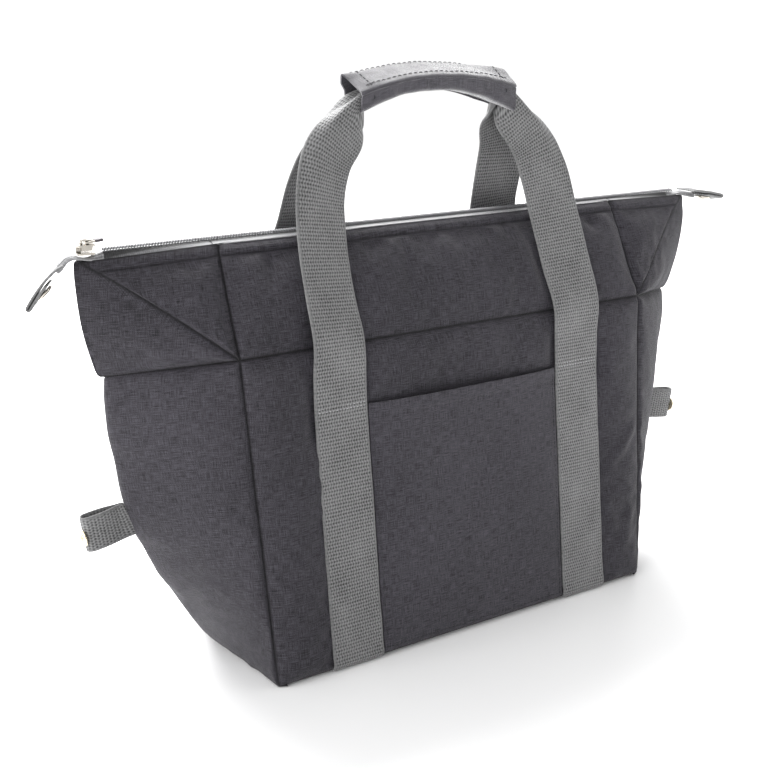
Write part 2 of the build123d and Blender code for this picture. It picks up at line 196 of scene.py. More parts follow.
def cloth_place(tree):
    """Millimetres along and across a piece's own cloth, from its UV map, as (vector, u, v)."""
    place = node(tree, "ShaderNodeUVMap", uv_map="cloth")
    inputs = {0: place.outputs[0], 1: (1000, 1000, 1000)}
    scaled = node(tree, "ShaderNodeVectorMath", inputs, operation="MULTIPLY")
    parts = node(tree, "ShaderNodeSeparateXYZ", {0: scaled.outputs[0]})
    return scaled.outputs[0], parts.outputs["X"], parts.outputs["Y"]


def stretched_noise(tree, vector, scale, detail=2.0, seed=0.0):
    """Noise drawn out along one axis of the cloth."""
    inputs = {"Vector": vector, "Scale": scale, "Location": (seed, seed * 2, 0)}
    moved = node(tree, "ShaderNodeMapping", inputs)
    inputs = {"Vector": moved.outputs[0], "Scale": 1.0, "Detail": detail}
    return node(tree, "ShaderNodeTexNoise", inputs).outputs["Fac"]


def melange(name, dark, light, sheen=0.12):
    """Two-tone polyester: a plain weave with lighter slubs running both ways, and painted shade darkening it
    beside its seams.
    """
    mat, tree, shader = material(name)
    vector, u, v = cloth_place(tree)
    warp = stretched_noise(tree, vector, (2.6, 0.13, 1), 2, 3)
    weft = stretched_noise(tree, vector, (0.13, 2.6, 1), 2, 11)
    fine = stretched_noise(tree, vector, (1.8, 1.8, 1), 2, 23)
    cloud = stretched_noise(tree, vector, (0.012, 0.012, 1), 2, 5)
    tone = weighted(tree, (warp, 0.32), (weft, 0.40), (fine, 0.20), (cloud, 0.08))
    middle = tuple((a + b) / 2 for a, b in zip(dark, light))
    colour = ramp(tree, tone, [(0.42, dark), (0.59, light), (0.50, middle)])
    # Painted shade: the colour falls to a quarter at each seam and clears within about 1.4 mm, standing in
    # for the seam grooves' shade.
    clear = clamped(tree, maths(tree, "MULTIPLY", edge_metres(tree), 700.0))
    painted_shade = ramp(tree, clear, [(0.1, (0.25, 0.25, 0.25)), (1.0, (1, 1, 1))])
    tree.links.new(with_painted_shade(tree, colour, painted_shade), shader.inputs["Base Color"])
    threads_u = maths(tree, "SINE", maths(tree, "MULTIPLY", u, TURN / 1.1))
    threads_v = maths(tree, "SINE", maths(tree, "MULTIPLY", v, TURN / 1.1))
    weave = maths(tree, "MULTIPLY", threads_u, threads_v)
    height = maths(tree, "ADD", maths(tree, "MULTIPLY", weave, 0.35), tone)
    relief(tree, shader, height, 0.6, 0.0006)
    rough = maths(tree, "ADD", maths(tree, "MULTIPLY", tone, 0.2), 0.60)
    tree.links.new(rough, shader.inputs["Roughness"])
    shader.inputs["Sheen Weight"].default_value = sheen
    shader.inputs["Sheen Roughness"].default_value = 0.4
    shader.inputs["Specular IOR Level"].default_value = 0.25
    return mat


def webbing_cloth(name, dark, light, column=2.0, row=2.4):
    """Woven webbing: rows of short raised cords; its colour follows their relief, the gaps between cords
    painted dark as shade, with patchy tone over it.
    """
    mat, tree, shader = material(name)
    vector, u, v = cloth_place(tree)
    edge = edge_metres(tree)
    lean = maths(tree, "MULTIPLY", maths(tree, "SINE", maths(tree, "MULTIPLY", v, TURN / (2 * row))), 1.3)
    columns = maths(tree, "COSINE", maths(tree, "ADD", maths(tree, "MULTIPLY", u, TURN / column), lean))
    rows = maths(tree, "COSINE", maths(tree, "MULTIPLY", v, TURN / row))
    cords = maths(tree, "SUBTRACT", maths(tree, "MULTIPLY", rows, 0.5), maths(tree, "MULTIPLY", columns, 0.5))
    inner = clamped(tree, maths(tree, "MULTIPLY", maths(tree, "SUBTRACT", edge, 0.0014), 1200))
    cords = maths(tree, "MULTIPLY", cords, maths(tree, "ADD", maths(tree, "MULTIPLY", inner, 0.75), 0.25))
    patchy = stretched_noise(tree, vector, (0.5, 0.5, 1), 3, 7)
    broad = stretched_noise(tree, vector, (0.05, 0.03, 1), 2, 17)
    height = weighted(tree, (cords, 0.36), (patchy, 0.55), (broad, 0.35))
    middle = tuple(a * 0.45 + b * 0.55 for a, b in zip(dark, light))
    # Painted shade: the colour ramp runs from the relief, so the low gaps between cords go near black; the
    # noise terms are real tone.
    colour = ramp(tree, height, [(0.08, dark), (0.80, light), (0.42, middle)])
    tree.links.new(colour, shader.inputs["Base Color"])
    relief(tree, shader, height, 0.8, 0.0006)
    shader.inputs["Roughness"].default_value = 0.62
    shader.inputs["Sheen Weight"].default_value = 0.2
    shader.inputs["Specular IOR Level"].default_value = 0.4
    return mat


def tape_cloth(name, dark, light, coil_side=None):
    """Zip tape: fine ribs across it, their hollows painted slightly darker as shade, and painted shadow
    darkening it up to coil_side millimetres from the bag's middle, under the coil.
    """
    mat, tree, shader = material(name)
    vector, u, v = cloth_place(tree)
    ribs = maths(tree, "SINE", maths(tree, "MULTIPLY", u, TURN / 1.3))
    grain = stretched_noise(tree, vector, (0.8, 0.8, 1), 3, 2)
    height = maths(tree, "ADD", maths(tree, "MULTIPLY", ribs, 0.2), grain)
    colour = ramp(tree, height, [(0.30, dark), (0.70, light)])
    if coil_side:
        # Painted shadow: within coil_side millimetres of the middle the tape's colour drops to about an
        # eighth, where the coil shades it.
        clear = clamped(tree, maths(tree, "SUBTRACT", v, coil_side))
        colour = with_painted_shade(tree, colour, ramp(tree, clear, [(0.0, (0.12, 0.12, 0.12)), (1.0, (1, 1, 1))]))
    tree.links.new(colour, shader.inputs["Base Color"])
    relief(tree, shader, height, 0.5, 0.0004)
    shader.inputs["Roughness"].default_value = 0.55
    shader.inputs["Sheen Weight"].default_value = 0.3
    return mat


def solid_finish(name, colour, metallic=0.0, rough=0.4, grain=300.0, depth=0.0002, vary=0.15):
    """Metal, plastic, thread or foil: a base colour with fine grain in colour, gloss and relief."""
    mat, tree, shader = material(name)
    place = node(tree, "ShaderNodeTexCoord").outputs["Object"]
    fine = node(tree, "ShaderNodeTexNoise", {"Vector": place, "Scale": grain, "Detail": 4.0}).outputs["Fac"]
    low = tuple(c * (1 - vary) for c in colour)
    high = tuple(min(1.0, c * (1 + vary)) for c in colour)
    tree.links.new(ramp(tree, fine, [(0.3, low), (0.7, high)]), shader.inputs["Base Color"])
    roughness = maths(tree, "ADD", maths(tree, "MULTIPLY", fine, 0.2), rough - 0.1)
    tree.links.new(roughness, shader.inputs["Roughness"])
    relief(tree, shader, fine, 0.3, depth)
    shader.inputs["Metallic"].default_value = metallic
    return mat


SHELL = melange("melange_polyester", (0.008, 0.0073, 0.0095), (0.0615, 0.0570, 0.0698))
POCKET_CLOTH = melange("pocket_polyester", (0.014, 0.0130, 0.0163), (0.080, 0.0745, 0.0900))
# The grip is the shell's own fabric, painted lighter than the shell to stand in for the light on the grip's
# top.
LIGHTENED_GRIP_CLOTH = melange("grip_polyester_painted_light", (0.018, 0.0168, 0.0210), (0.086, 0.0800, 0.0970), 1.0)
BELT = webbing_cloth("grey_webbing", (0.011, 0.011, 0.011), (0.232, 0.232, 0.235))
TAPE = tape_cloth("zip_tape", (0.11, 0.11, 0.115), (0.26, 0.26, 0.27), 3.0)
TAIL = tape_cloth("zip_tail_tape", (0.13, 0.13, 0.135), (0.34, 0.34, 0.35))
COIL = solid_finish("zip_coil_nylon", (0.13, 0.13, 0.137), 0.0, 0.5, 500)
NICKEL = solid_finish("warm_nickel", (0.46, 0.43, 0.385), 1.0, 0.22, 900, 0.00005, 0.06)
BRASS = solid_finish("pale_plate", (0.83, 0.74, 0.56), 1.0, 0.25, 900, 0.00005, 0.06)
PULL = solid_finish("pull_rubber", (0.045, 0.035, 0.045), 0.0, 0.5, 700, 0.0003)
# Near black: the fold seam's binding is painted shade for the seam's gap, darker than any of the shell's own
# colour.
SHADE_DARK_BINDING = solid_finish("seam_binding", (0.007, 0.0065, 0.008), 0.0, 0.8, 2500, 0.0003, 0.3)
THREAD = solid_finish("dark_thread", (0.018, 0.017, 0.021), 0.0, 0.7, 2500, 0.0003, 0.4)
PALE_THREAD = solid_finish("grey_thread", (0.36, 0.36, 0.37), 0.0, 0.6, 2500, 0.0003, 0.3)
WHITE_THREAD = solid_finish("white_thread", (0.78, 0.78, 0.79), 0.0, 0.6, 2500, 0.0003, 0.2)
FOIL = solid_finish("foil_lining", (0.74, 0.75, 0.77), 0.85, 0.34, 90, 0.0015, 0.08)
BOARD = solid_finish("stiffener_board", (0.12, 0.12, 0.12), 0.0, 0.6, 400)
BASE_FOAM = solid_finish("hook_and_loop", (0.03, 0.03, 0.034), 0.0, 0.9, 3000, 0.0008, 0.5)
CLOTHS = (SHELL, POCKET_CLOTH, LIGHTENED_GRIP_CLOTH, BELT)


# ---- mesh helpers ----

def mesh_piece(name, points, faces, mat, uvs=None, smooth=True):
    mesh = bpy.data.meshes.new(name)
    mesh.from_pydata([tuple(p) for p in points], [], faces)
    mesh.materials.append(mat)
    if uvs is not None:
        layer = mesh.uv_layers.new(name="cloth")
        flat = [uvs[loop.vertex_index] for loop in mesh.loops]
        layer.data.foreach_set("uv", np.array(flat, np.float32).ravel())
    mesh.polygons.foreach_set("use_smooth", [smooth] * len(mesh.polygons))
    mesh.update()
    piece = bpy.data.objects.new(name, mesh)
    bpy.context.scene.collection.objects.link(piece)
    return piece


def grid_normals(grid):
    """Unit normals of a grid of points, rows by columns."""
    du = np.gradient(grid, axis=1)
    dv = np.gradient(grid, axis=0)
    normals = np.cross(du, dv)
    return normals / np.maximum(np.linalg.norm(normals, axis=2, keepdims=True), 1e-12)


def run_along(path):
    """The distance run along a path at each of its points."""
    return np.concatenate([[0], np.cumsum(np.linalg.norm(np.diff(path, axis=0), axis=1))])


def arc_lengths(grid):
    """Cloth coordinates of a grid: metres run along its middle row and middle column."""
    rows, columns = grid.shape[:2]
    return np.dstack(np.meshgrid(run_along(grid[rows // 2]), run_along(grid[:, columns // 2])))


def tube_faces(first, rings, sides, flipped=False):
    """The faces of a closed tube whose points run ring by ring from the first."""
    faces = []
    for j in range(rings - 1):
        for k in range(sides):
            a, b = first + j * sides + k, first + j * sides + (k + 1) % sides
            faces.append((a, b, b + sides, a + sides))
    last = first + (rings - 1) * sides
    faces.append(tuple(first + k for k in reversed(range(sides))))
    faces.append(tuple(last + k for k in range(sides)))
    return [face[::-1] for face in faces] if flipped else faces


def slab(name, outer, inner, mat, uv=None, subdivide=1, crisp=True, edge=None):
    """A closed piece between two grids of points; crisp keeps its rim sharp, and edge is for edge_map."""
    rows, columns = outer.shape[:2]
    count = rows * columns
    points = np.vstack([outer.reshape(-1, 3), inner.reshape(-1, 3)])
    uv = arc_lengths(outer) if uv is None else uv
    uvs = np.vstack([uv.reshape(-1, 2)] * 2)
    index = np.arange(count).reshape(rows, columns)
    a, b, c, d = index[:-1, :-1], index[:-1, 1:], index[1:, 1:], index[1:, :-1]
    front = np.dstack([a, b, c, d]).reshape(-1, 4)
    back = np.dstack([d, c, b, a]).reshape(-1, 4) + count
    rim = np.concatenate([index[0, :-1], index[:-1, -1], index[-1, :0:-1], index[:0:-1, 0]])
    following = np.roll(rim, -1)
    walls = np.column_stack([following, rim, rim + count, following + count])
    faces = np.vstack([front, back, walls]).tolist()
    piece = mesh_piece(name, points, faces, mat, uvs)
    if mat in CLOTHS:
        edge_map(piece, np.full(outer.shape[:2], 1.0) if edge is None else edge)
    if crisp:
        sharpen_rim(piece, rim.tolist(), following.tolist(), count)
    if subdivide:
        smooth = piece.modifiers.new("smooth", "SUBSURF")
        smooth.levels = smooth.render_levels = subdivide
    return piece


def edge_map(piece, distance):
    """Records how far each point of a two-sided piece is from its nearest edge or seam."""
    layer = piece.data.uv_layers.new(name="edge")
    values = np.tile(distance.reshape(-1), 2)
    index = np.empty(len(piece.data.loops), np.int32)
    piece.data.loops.foreach_get("vertex_index", index)
    flat = np.column_stack([values[index], values[index] * 0]).astype(np.float32).ravel()
    layer.data.foreach_set("uv", flat)


def sharpen_rim(piece, rim, following, count):
    """Creases a slab's two rims and lets its shading break there."""
    mesh = piece.data
    crease = mesh.attributes.new("crease_edge", "FLOAT", "EDGE")
    sharp = mesh.attributes.new("sharp_edge", "BOOLEAN", "EDGE")
    edge_of = {frozenset(edge.vertices): edge.index for edge in mesh.edges}
    for start, end in zip(rim, following):
        for a, b in ((start, end), (start + count, end + count)):
            crease.data[edge_of[frozenset((a, b))]].value = 1.0
            sharp.data[edge_of[frozenset((a, b))]].value = True


def ruffle(points, size, seed, octaves=3):
    """Smooth noise from -1 to 1 at each point of a grid, the same on every run."""
    shift = Vector((seed * 7.3, seed * 3.1, seed * 5.7))
    values = [noise.fractal(Vector(p) / size + shift, 1.0, 2.0, octaves) for p in points.reshape(-1, 3)]
    return np.array(values).reshape(points.shape[:2])


def steps(length, cell=CELL, start=True, end=True):
    """Shares of a length from 0 to 1: cells of one size, and finer ones beside the sewn ends."""
    fine = np.array([0.0, 0.0012, 0.0028, 0.0052]) / length
    low = fine if start else np.array([0.0])
    high = 1 - fine[::-1] if end else np.array([1.0])
    count = max(2, round((high[0] - low[-1]) * length / cell))
    return np.concatenate([low[:-1], np.linspace(low[-1], high[0], count + 1), high[1:]])


def bead_line(path, lift, pitch, length, radius, points, faces):
    """Adds one row of stitches: short fat threads end to end along a path, lying on a surface."""
    path = np.asarray(path, float)
    lift = np.broadcast_to(np.asarray(lift, float), path.shape)
    run = run_along(path)
    for start in np.arange(pitch * 0.3, run[-1] - length, pitch):
        stations = start + length * np.array([0.0, 0.22, 0.5, 0.78, 1.0])
        middle = np.column_stack([np.interp(stations, run, path[:, k]) for k in range(3)])
        up = np.array([np.interp(stations[2], run, lift[:, k]) for k in range(3)])
        up = up / np.linalg.norm(up)
        ahead = middle[-1] - middle[0]
        side = np.cross(ahead, up)
        side = side / np.linalg.norm(side)
        first = len(points)
        for centre, rise, width in zip(middle, (-0.8, 0.35, 0.6, 0.35, -0.8), (0.35, 0.9, 1.0, 0.9, 0.35)):
            for k in range(5):
                angle = TURN * k / 5
                ring = side * math.cos(angle) + up * math.sin(angle) * 0.7
                points.append(centre + radius * (up * rise + ring * width))
        faces += tube_faces(first, 5, 5)


def stitched(name, rows, mat, pitch=0.0034, length=0.0025, radius=0.00032):
    """One piece of several stitch rows, each (path, lift)."""
    points, faces = [], []
    for path, lift in rows:
        bead_line(path, lift, pitch, length, radius, points, faces)
    return mesh_piece(name, points, faces, mat)


# ---- the bag's form ----

def front_y(z):
    return -BASE_Y + (BASE_Y - FOLD_Y) * z / FOLD_Z


def off_front(z, away):
    """(y, z) of a point stood off square from the front wall's slope."""
    length = math.hypot(FOLD_Z, BASE_Y - FOLD_Y)
    return front_y(z) - away * FOLD_Z / length, z + away * (BASE_Y - FOLD_Y) / length


def corner_x(z):
    return BASE_X + (FOLD_X - BASE_X) * z / FOLD_Z


def swell_x(z):
    heights, reaches = zip(*SWELL)
    return np.interp(z, heights, reaches)


def drawn_in(points):
    """The bag's right end reaches a little less far than its left."""
    points = np.array(points, float)
    points[..., 0] -= DRAW_IN * smoothstep((points[..., 0] - DRAW_FROM) / DRAW_RUN)
    return points


def mirrored(grid, sign_x, sign_y):
    """A grid carried to another side of the bag, still facing outwards."""
    grid = drawn_in(grid * (sign_x, sign_y, 1))
    return grid if sign_x * sign_y > 0 else grid[:, ::-1]


def long_wall():
    """The front wall's untouched outside."""
    s, t = np.meshgrid(steps(2 * FOLD_X), steps(FOLD_Z))
    z = t * FOLD_Z
    return np.dstack([(2 * s - 1) * corner_x(z), front_y(z), z])


def end_wall():
    """The right end in one panel, from its front corner round the soft ridge to its back corner."""
    half = steps(0.085, end=False)
    s, t = np.meshgrid(np.concatenate([half - 1, 1 - half[-2::-1]]), steps(FOLD_Z))
    soft = 0.05
    out = (math.hypot(1, soft) - np.hypot(s, soft)) / math.hypot(1, soft)
    z = t * (FOLD_Z - (FOLD_Z - RIDGE_Z) * out)
    return np.dstack([corner_x(z) + (swell_x(z) - corner_x(z)) * out, -front_y(z) * s, z])


def hem_rows(start):
    """Shares up an upper panel, dense at its seam and hem, and each one's way below the hem's stitches."""
    lower = steps(BAND_SLOPE * HEM_SHARE, start=start) * HEM_SHARE
    share = np.concatenate([lower, [HEM_SHARE + 0.012, 0.95, 1.0]])
    return share, (HEM_SHARE - share) * BAND_SLOPE


def band():
    """The front upper band, from the fold seam to the zip, and its distances below the hem."""
    share, below = hem_rows(True)
    s, t = np.meshgrid(steps(2 * BAND_X, 0.0036), share)
    z = FOLD_Z + t * (TOP_Z - FOLD_Z)
    x = (2 * s - 1) * (FOLD_X + (BAND_X - FOLD_X) * t)
    return np.dstack([x, -FOLD_Y + (FOLD_Y - HEM_Y) * t, z]), below[:, None] + 0 * s


CORNER = np.array([FOLD_X, -FOLD_Y, FOLD_Z])
SEAM_TOP = np.array([BAND_X, -HEM_Y, TOP_Z])
RIDGE = np.array([SWELL[-1][1], -0.0010, RIDGE_Z])


def fan(first, last, rows, columns):
    """A three-cornered panel that opens from the body's front right corner to the line between two points."""
    t, r = np.meshgrid(columns, rows)
    t, r = t[..., None], np.maximum(r[..., None], 0.012)
    return CORNER + r * ((1 - t) * (np.asarray(first) - CORNER) + t * (np.asarray(last) - CORNER))


def facing():
    """The front right wing's outer triangle, between the band's seam and the crease, hemmed at the zip."""
    share, below = hem_rows(False)
    grid = fan(SEAM_TOP, TIP, share, steps(0.085))
    return grid, below[:, None] + 0 * grid[..., 0]


def gusset():
    """The front right wing's inner triangle, from the crease back to the ridge."""
    return fan(TIP, RIDGE, steps(0.085, start=False, end=False), steps(0.080))


def flat_uv(grid):
    """Cloth coordinates for a nearly flat panel: level along it, and up its slope."""
    normal = grid_normals(grid).mean(axis=(0, 1))
    level = np.cross((0, 0, 1), normal)
    level /= np.linalg.norm(level)
    slope = np.cross(normal / np.linalg.norm(normal), level)
    return np.dstack([grid @ level, grid @ slope])


def dipped(grid):
    """Lowers an upper panel's top edge, more towards the zip's ends and most at the left."""
    share = np.clip((grid[..., 2] - FOLD_Z) / (TOP_Z - FOLD_Z), 0, 1)
    grid = grid.copy()
    grid[..., 2] -= share * edge_dip(grid[..., 0])
    return grid


def edge_dip(x):
    """How far the top's fabric edge hangs below its straight line."""
    left = 0.0010 * smoothstep((-x - 0.03) / 0.08) + 0.0013 * smoothstep((-x - 0.16) / 0.09)
    return 0.0010 + left + 0.0008 * smoothstep((x - 0.15) / 0.09)


def inward(points):
    """Which way seams sink, the same for every panel that meets there: towards the bag's middle."""
    reach = np.zeros_like(points)
    reach[..., 0] = points[..., 0] - np.clip(points[..., 0], -0.15, 0.15)
    reach[..., 1] = points[..., 1]
    return -reach / np.maximum(np.linalg.norm(reach, axis=-1, keepdims=True), 1e-6)


def line_distance(grid, lines):
    flat = grid.reshape(-1, 3)
    nearest = np.full(len(flat), 1.0)
    for line in lines:
        for a, b in zip(line[:-1], line[1:]):
            d = b - a
            along = np.clip((flat - a) @ d / max(d @ d, 1e-12), 0, 1)
            nearest = np.minimum(nearest, np.linalg.norm(flat - (a + along[:, None] * d), axis=1))
    return nearest.reshape(grid.shape[:2])


def held_flat(grid, front):
    """Metres from each point of a long wall to where the sewn straps and pocket press it flat."""
    x, z = np.abs(grid[..., 0]), grid[..., 2]
    beside = np.maximum(np.abs(x - STRAP_X) - STRAP_HALF + 0.003, 0)
    strap = np.hypot(beside, np.maximum(z - STITCH_Z - 0.002, 0))
    if not front:
        return strap
    patch = np.hypot(np.maximum(x - STRAP_X, 0), np.maximum(z - POCKET_HIGH.z + 0.007, 0))
    return np.minimum(strap, patch)


def behind_straps(shape, word):
    """Presses a long wall or band back to the inside of the free straps that cross it."""
    side = 1 if word == "front" else -1
    depth = shape[..., 1] * side
    for hand, sign in HANDS:
        path = interpolated(strap_keys(word, hand), 300)
        path = path[(path[:, 2] > STITCH_Z - 0.02) & (path[:, 2] < TOP_Z)]
        rise = shape[..., 2]
        x, y = np.interp(rise, path[:, 2], path[:, 0]), np.interp(rise, path[:, 2], path[:, 1])
        tilt = np.interp(rise, path[:, 2], path[:, 4] / path[:, 3])
        off = shape[..., 0] * sign - x
        limit = y + off * tilt + WEBBING + 0.0014
        press = smoothstep((0.029 - np.abs(off)) / 0.008) * (rise > STITCH_Z - 0.02) * (rise < TOP_Z)
        depth = depth + press * np.maximum(limit - depth, 0)
    return np.dstack([shape[..., 0], depth * side, shape[..., 2]])


# ---- padded panels, by cloth simulation ----

def cloth_run(specs, frames=18):
    """Puffs every panel in one run: each is held along its seams and blown outwards as slack cloth."""
    made = []
    for spec in specs:
        start = spec["start"]
        rows, columns = start.shape[:2]
        index = np.arange(rows * columns).reshape(rows, columns)
        faces = np.dstack([index[:-1, :-1], index[:-1, 1:], index[1:, 1:], index[1:, :-1]]).reshape(-1, 4)
        piece = mesh_piece(f"sim_{spec['name']}", start.reshape(-1, 3), faces.tolist(), SHELL)
        group = piece.vertex_groups.new(name="held")
        group.add(np.flatnonzero(spec["held"].ravel()).tolist(), 1.0, "REPLACE")
        cloth = piece.modifiers.new("cloth", "CLOTH")
        cloth.settings.quality = 4
        cloth.settings.mass = 0.25
        cloth.settings.tension_stiffness = cloth.settings.compression_stiffness = 18
        cloth.settings.shear_stiffness = 8
        cloth.settings.bending_stiffness = 0.4
        cloth.settings.air_damping = 4
        cloth.settings.vertex_group_mass = "held"
        cloth.settings.shrink_min = -spec["slack"]
        cloth.settings.use_pressure = True
        cloth.settings.uniform_pressure_force = 4
        cloth.settings.effector_weights.gravity = 0
        cloth.collision_settings.use_collision = False
        cloth.collision_settings.use_self_collision = False
        cloth.point_cache.frame_start, cloth.point_cache.frame_end = 1, frames
        made.append(piece)
    for step in range(1, frames + 1):
        bpy.context.scene.frame_set(step)
    graph = bpy.context.evaluated_depsgraph_get()
    results = []
    for piece, spec in zip(made, specs):
        mesh = piece.evaluated_get(graph).to_mesh()
        flat = np.empty(len(mesh.vertices) * 3, np.float32)
        mesh.vertices.foreach_get("co", flat)
        results.append(flat.astype(float).reshape(spec["start"].shape))
    for piece in made:
        bpy.data.objects.remove(piece)
    bpy.context.scene.frame_set(1)
    return results


def panel(name, grid, seed, flat=None, below=None, open_edge=False, loft=0.0030, slack=0.014, gather=0.0):
    """One padded panel before its cloth run: seams sunk in and its middle crowned."""
    borders = [grid[0], grid[:, -1], grid[:, 0]]
    if not open_edge:
        borders.append(grid[-1])
    seam = line_distance(grid, borders)
    press = np.minimum(seam, flat) if flat is not None else seam
    ridge = np.exp(-((grid[..., 1] / 0.010) ** 2)) * (np.abs(grid[..., 0]) > FOLD_X)
    sunk = SEAM_DEPTH * np.exp(-((seam / GROOVE) ** 2)) * (1 - 0.75 * ridge)
    if below is not None:
        press = np.minimum(press, np.maximum(below, 0))
    normals = grid_normals(grid)
    swell = loft * (1 - np.exp(-press / 0.010))
    swell = swell + 0.0012 * ruffle(grid, 0.045, seed) * (1 - np.exp(-press / 0.012))
    if below is not None:
        groove = 0.0016 * np.exp(-((below / 0.0016) ** 2)) * (1 - np.exp(-((seam / 0.004) ** 2)))
        above = 0.0008 * (1 - np.exp(-((seam / 0.003) ** 2)))
        swell = np.where(below < -0.0003, above, swell - groove)
    start = grid + normals * swell[..., None] + inward(grid) * sunk[..., None]
    start[..., 2] = np.maximum(start[..., 2], 0.0003)
    spec = {"name": name, "grid": grid, "press": press, "start": start, "held": press < 0.0014}
    spec.update(slack=slack, seed=seed, normals=normals, below=below, gather=gather)
    # This distance also drives the cloth's painted seam shade, so the hem's stitch line is painted darker as
    # well.
    spec["seam"] = seam if below is None else np.minimum(seam, np.abs(below) + 0.0004)
    return spec


# Loose creases on the front wall: x and z of one end, x and z of the other, and height.
CREASES = [
    (0.131, 0.098, 0.157, 0.123, 0.0034),
    (0.127, 0.090, 0.151, 0.072, 0.0028),
    (0.150, 0.062, 0.142, 0.034, 0.0028),
    (0.124, 0.070, 0.130, 0.046, 0.0022),
    (-0.150, 0.150, -0.128, 0.176, 0.0012),
    (-0.154, 0.060, -0.136, 0.084, 0.0012),
]


def creased(grid):
    """How far the loose creases stand up at each point of the front wall."""
    flat = grid * (1, 0, 1)
    rise = np.zeros(grid.shape[:2])
    for x0, z0, x1, z1, height in CREASES:
        bow = ((x0 + x1) / 2 + 0.002, 0, (z0 + z1) / 2)
        away = line_distance(flat, [np.array([(x0, 0, z0), bow, (x1, 0, z1)])])
        rise += height * (np.exp(-((away / 0.0034) ** 2)) - 0.35 * np.exp(-((away / 0.009) ** 2)))
    return rise


def finished(spec, puffed):
    """The panel after its cloth run, with the small puckers that sewing leaves beside its seams."""
    start, grid, gap = spec["start"], spec["grid"], spec["press"]
    move = puffed - start
    size = np.linalg.norm(move, axis=2, keepdims=True)
    shape = start + move * (PUFF_CAP * np.tanh(size / PUFF_CAP) / np.maximum(size, 1e-9))
    pucker = 0.0010 * ruffle(grid, 0.0085, spec["seed"] + 9, 2) * np.exp(-(((gap - 0.005) / 0.005) ** 2))
    if spec["gather"]:
        below = np.maximum(spec["below"], 0)
        across = grid * (1, 0, 0.25)
        gathers = ruffle(across, 0.013, spec["seed"] + 4, 2)
        gathers = gathers * (0.6 + 0.4 * ruffle(across, 0.07, spec["seed"] + 5))
        pucker = pucker + spec["gather"] * gathers * (below / 0.006) * np.exp(1 - below / 0.006) * (below > 0)
    if spec["name"] == "front":
        pucker = pucker + creased(grid)
    shape = shape + spec["normals"] * (pucker * ~spec["held"])[..., None]
    shape[..., 2] = np.maximum(shape[..., 2], 0.0003)
    return shape


PANELS = {}


def build_panels():
    """Every padded panel of the bag, puffed together."""
    for i, word in enumerate(("front", "back")):
        side = -1 if i else 1
        grid = mirrored(long_wall(), 1, side)
        PANELS[word] = panel(word, grid, 1.0 + i, flat=held_flat(grid, word == "front"), loft=0.0024)
        grid, below = band()
        grid = dipped(mirrored(grid, 1, side))
        PANELS[f"{word}_band"] = panel(f"{word}_band", grid, 11.0 + i, below=below, gather=0.0030)
        for j, (hand, sign) in enumerate(HANDS):
            grid, below = facing()
            grid, below = dipped(mirrored(grid, sign, side)), below if sign * side > 0 else below[:, ::-1]
            key = f"{word}_{hand}_facing"
            PANELS[key] = panel(key, grid, 20.0 + 2 * i + j, below=below, gather=0.0010, slack=0.010)
            key = f"{word}_{hand}_gusset"
            grid = dipped(mirrored(gusset(), sign, side))
            PANELS[key] = panel(key, grid, 30.0 + 2 * i + j, open_edge=True, slack=0.008)
    for j, (hand, sign) in enumerate(HANDS):
        PANELS[hand] = panel(hand, mirrored(end_wall(), sign, 1), 4.0 + j, loft=0.0026, slack=0.008)
    specs = list(PANELS.values())
    shapes = cloth_run(specs)
    for spec, puffed in zip(specs, shapes):
        spec["shape"] = finished(spec, puffed)
    for word in ("front", "back"):
        for key in (word, f"{word}_band"):
            PANELS[key]["shape"] = behind_straps(PANELS[key]["shape"], word)


def padded_piece(key, side=0):
    """A panel as a closed pad: the quilted outside, and its inner face a pad's depth behind."""
    spec = PANELS[key]
    depth = np.full(spec["press"].shape, PAD)
    if spec["below"] is not None:
        depth = np.where(spec["below"] < 0.0003, THIN_PAD, depth)
    inner = spec["grid"] - spec["normals"] * depth[..., None]
    inner[..., 2] = np.maximum(inner[..., 2], 0.0006)
    if side:
        inner[..., 1] = side * np.maximum(inner[..., 1] * side, 0.0008)
    spec["inner"] = inner
    uv = arc_lengths(spec["grid"]) if key in ("right", "left") else flat_uv(spec["grid"])
    piece = slab(f"{key}_panel", spec["shape"], inner, SHELL, uv=uv, edge=spec["seam"])
    return piece


def lining_piece(key, side=0):
    """The foil sheet behind an upper panel's pad."""
    inner = PANELS[key]["inner"].copy()
    inner[..., 2] -= 0.0035 * smoothstep((np.abs(inner[..., 0]) - 0.232) / 0.012)
    inner[..., 0] = np.clip(inner[..., 0], -0.2450, 0.2420)
    skin = inner - PANELS[key]["normals"] * 0.0006
    if side:
        skin[..., 1] = side * np.maximum(skin[..., 1] * side, 0.0005)
    step = slice(None, None, 2)
    piece = slab(f"{key}_lining", inner[step, step], skin[step, step], FOIL, subdivide=0)
    return piece


def lower_panels():
    for key in ("front", "back", "right", "left"):
        piece = padded_piece(key)
        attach(piece, "body_shell")
        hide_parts(f"{key}_wall_cover", f"{key}_wall_foam")


def upper_panels():
    for word, side in (("front", -1), ("back", 1)):
        middle = padded_piece(f"{word}_band", side)
        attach(middle, f"{word}_top")
        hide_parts(f"{word}_band_cover", f"{word}_top_foam")
        sheet = lining_piece(f"{word}_band", side)
        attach(sheet, f"{word}_top")
        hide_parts(f"{word}_top_lining")
        for hand, sign in HANDS:
            for part in ("facing", "gusset"):
                key = f"{word}_{hand}_{part}"
                piece = padded_piece(key, side)
                bend_wing(piece)
                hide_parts(f"{word}_{hand}_wing_cover")
                bend_wing(lining_piece(key, side))


def bend_wing(piece):
    """Leaves a wing piece where it was built, its placement baked into its points."""
    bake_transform(piece)


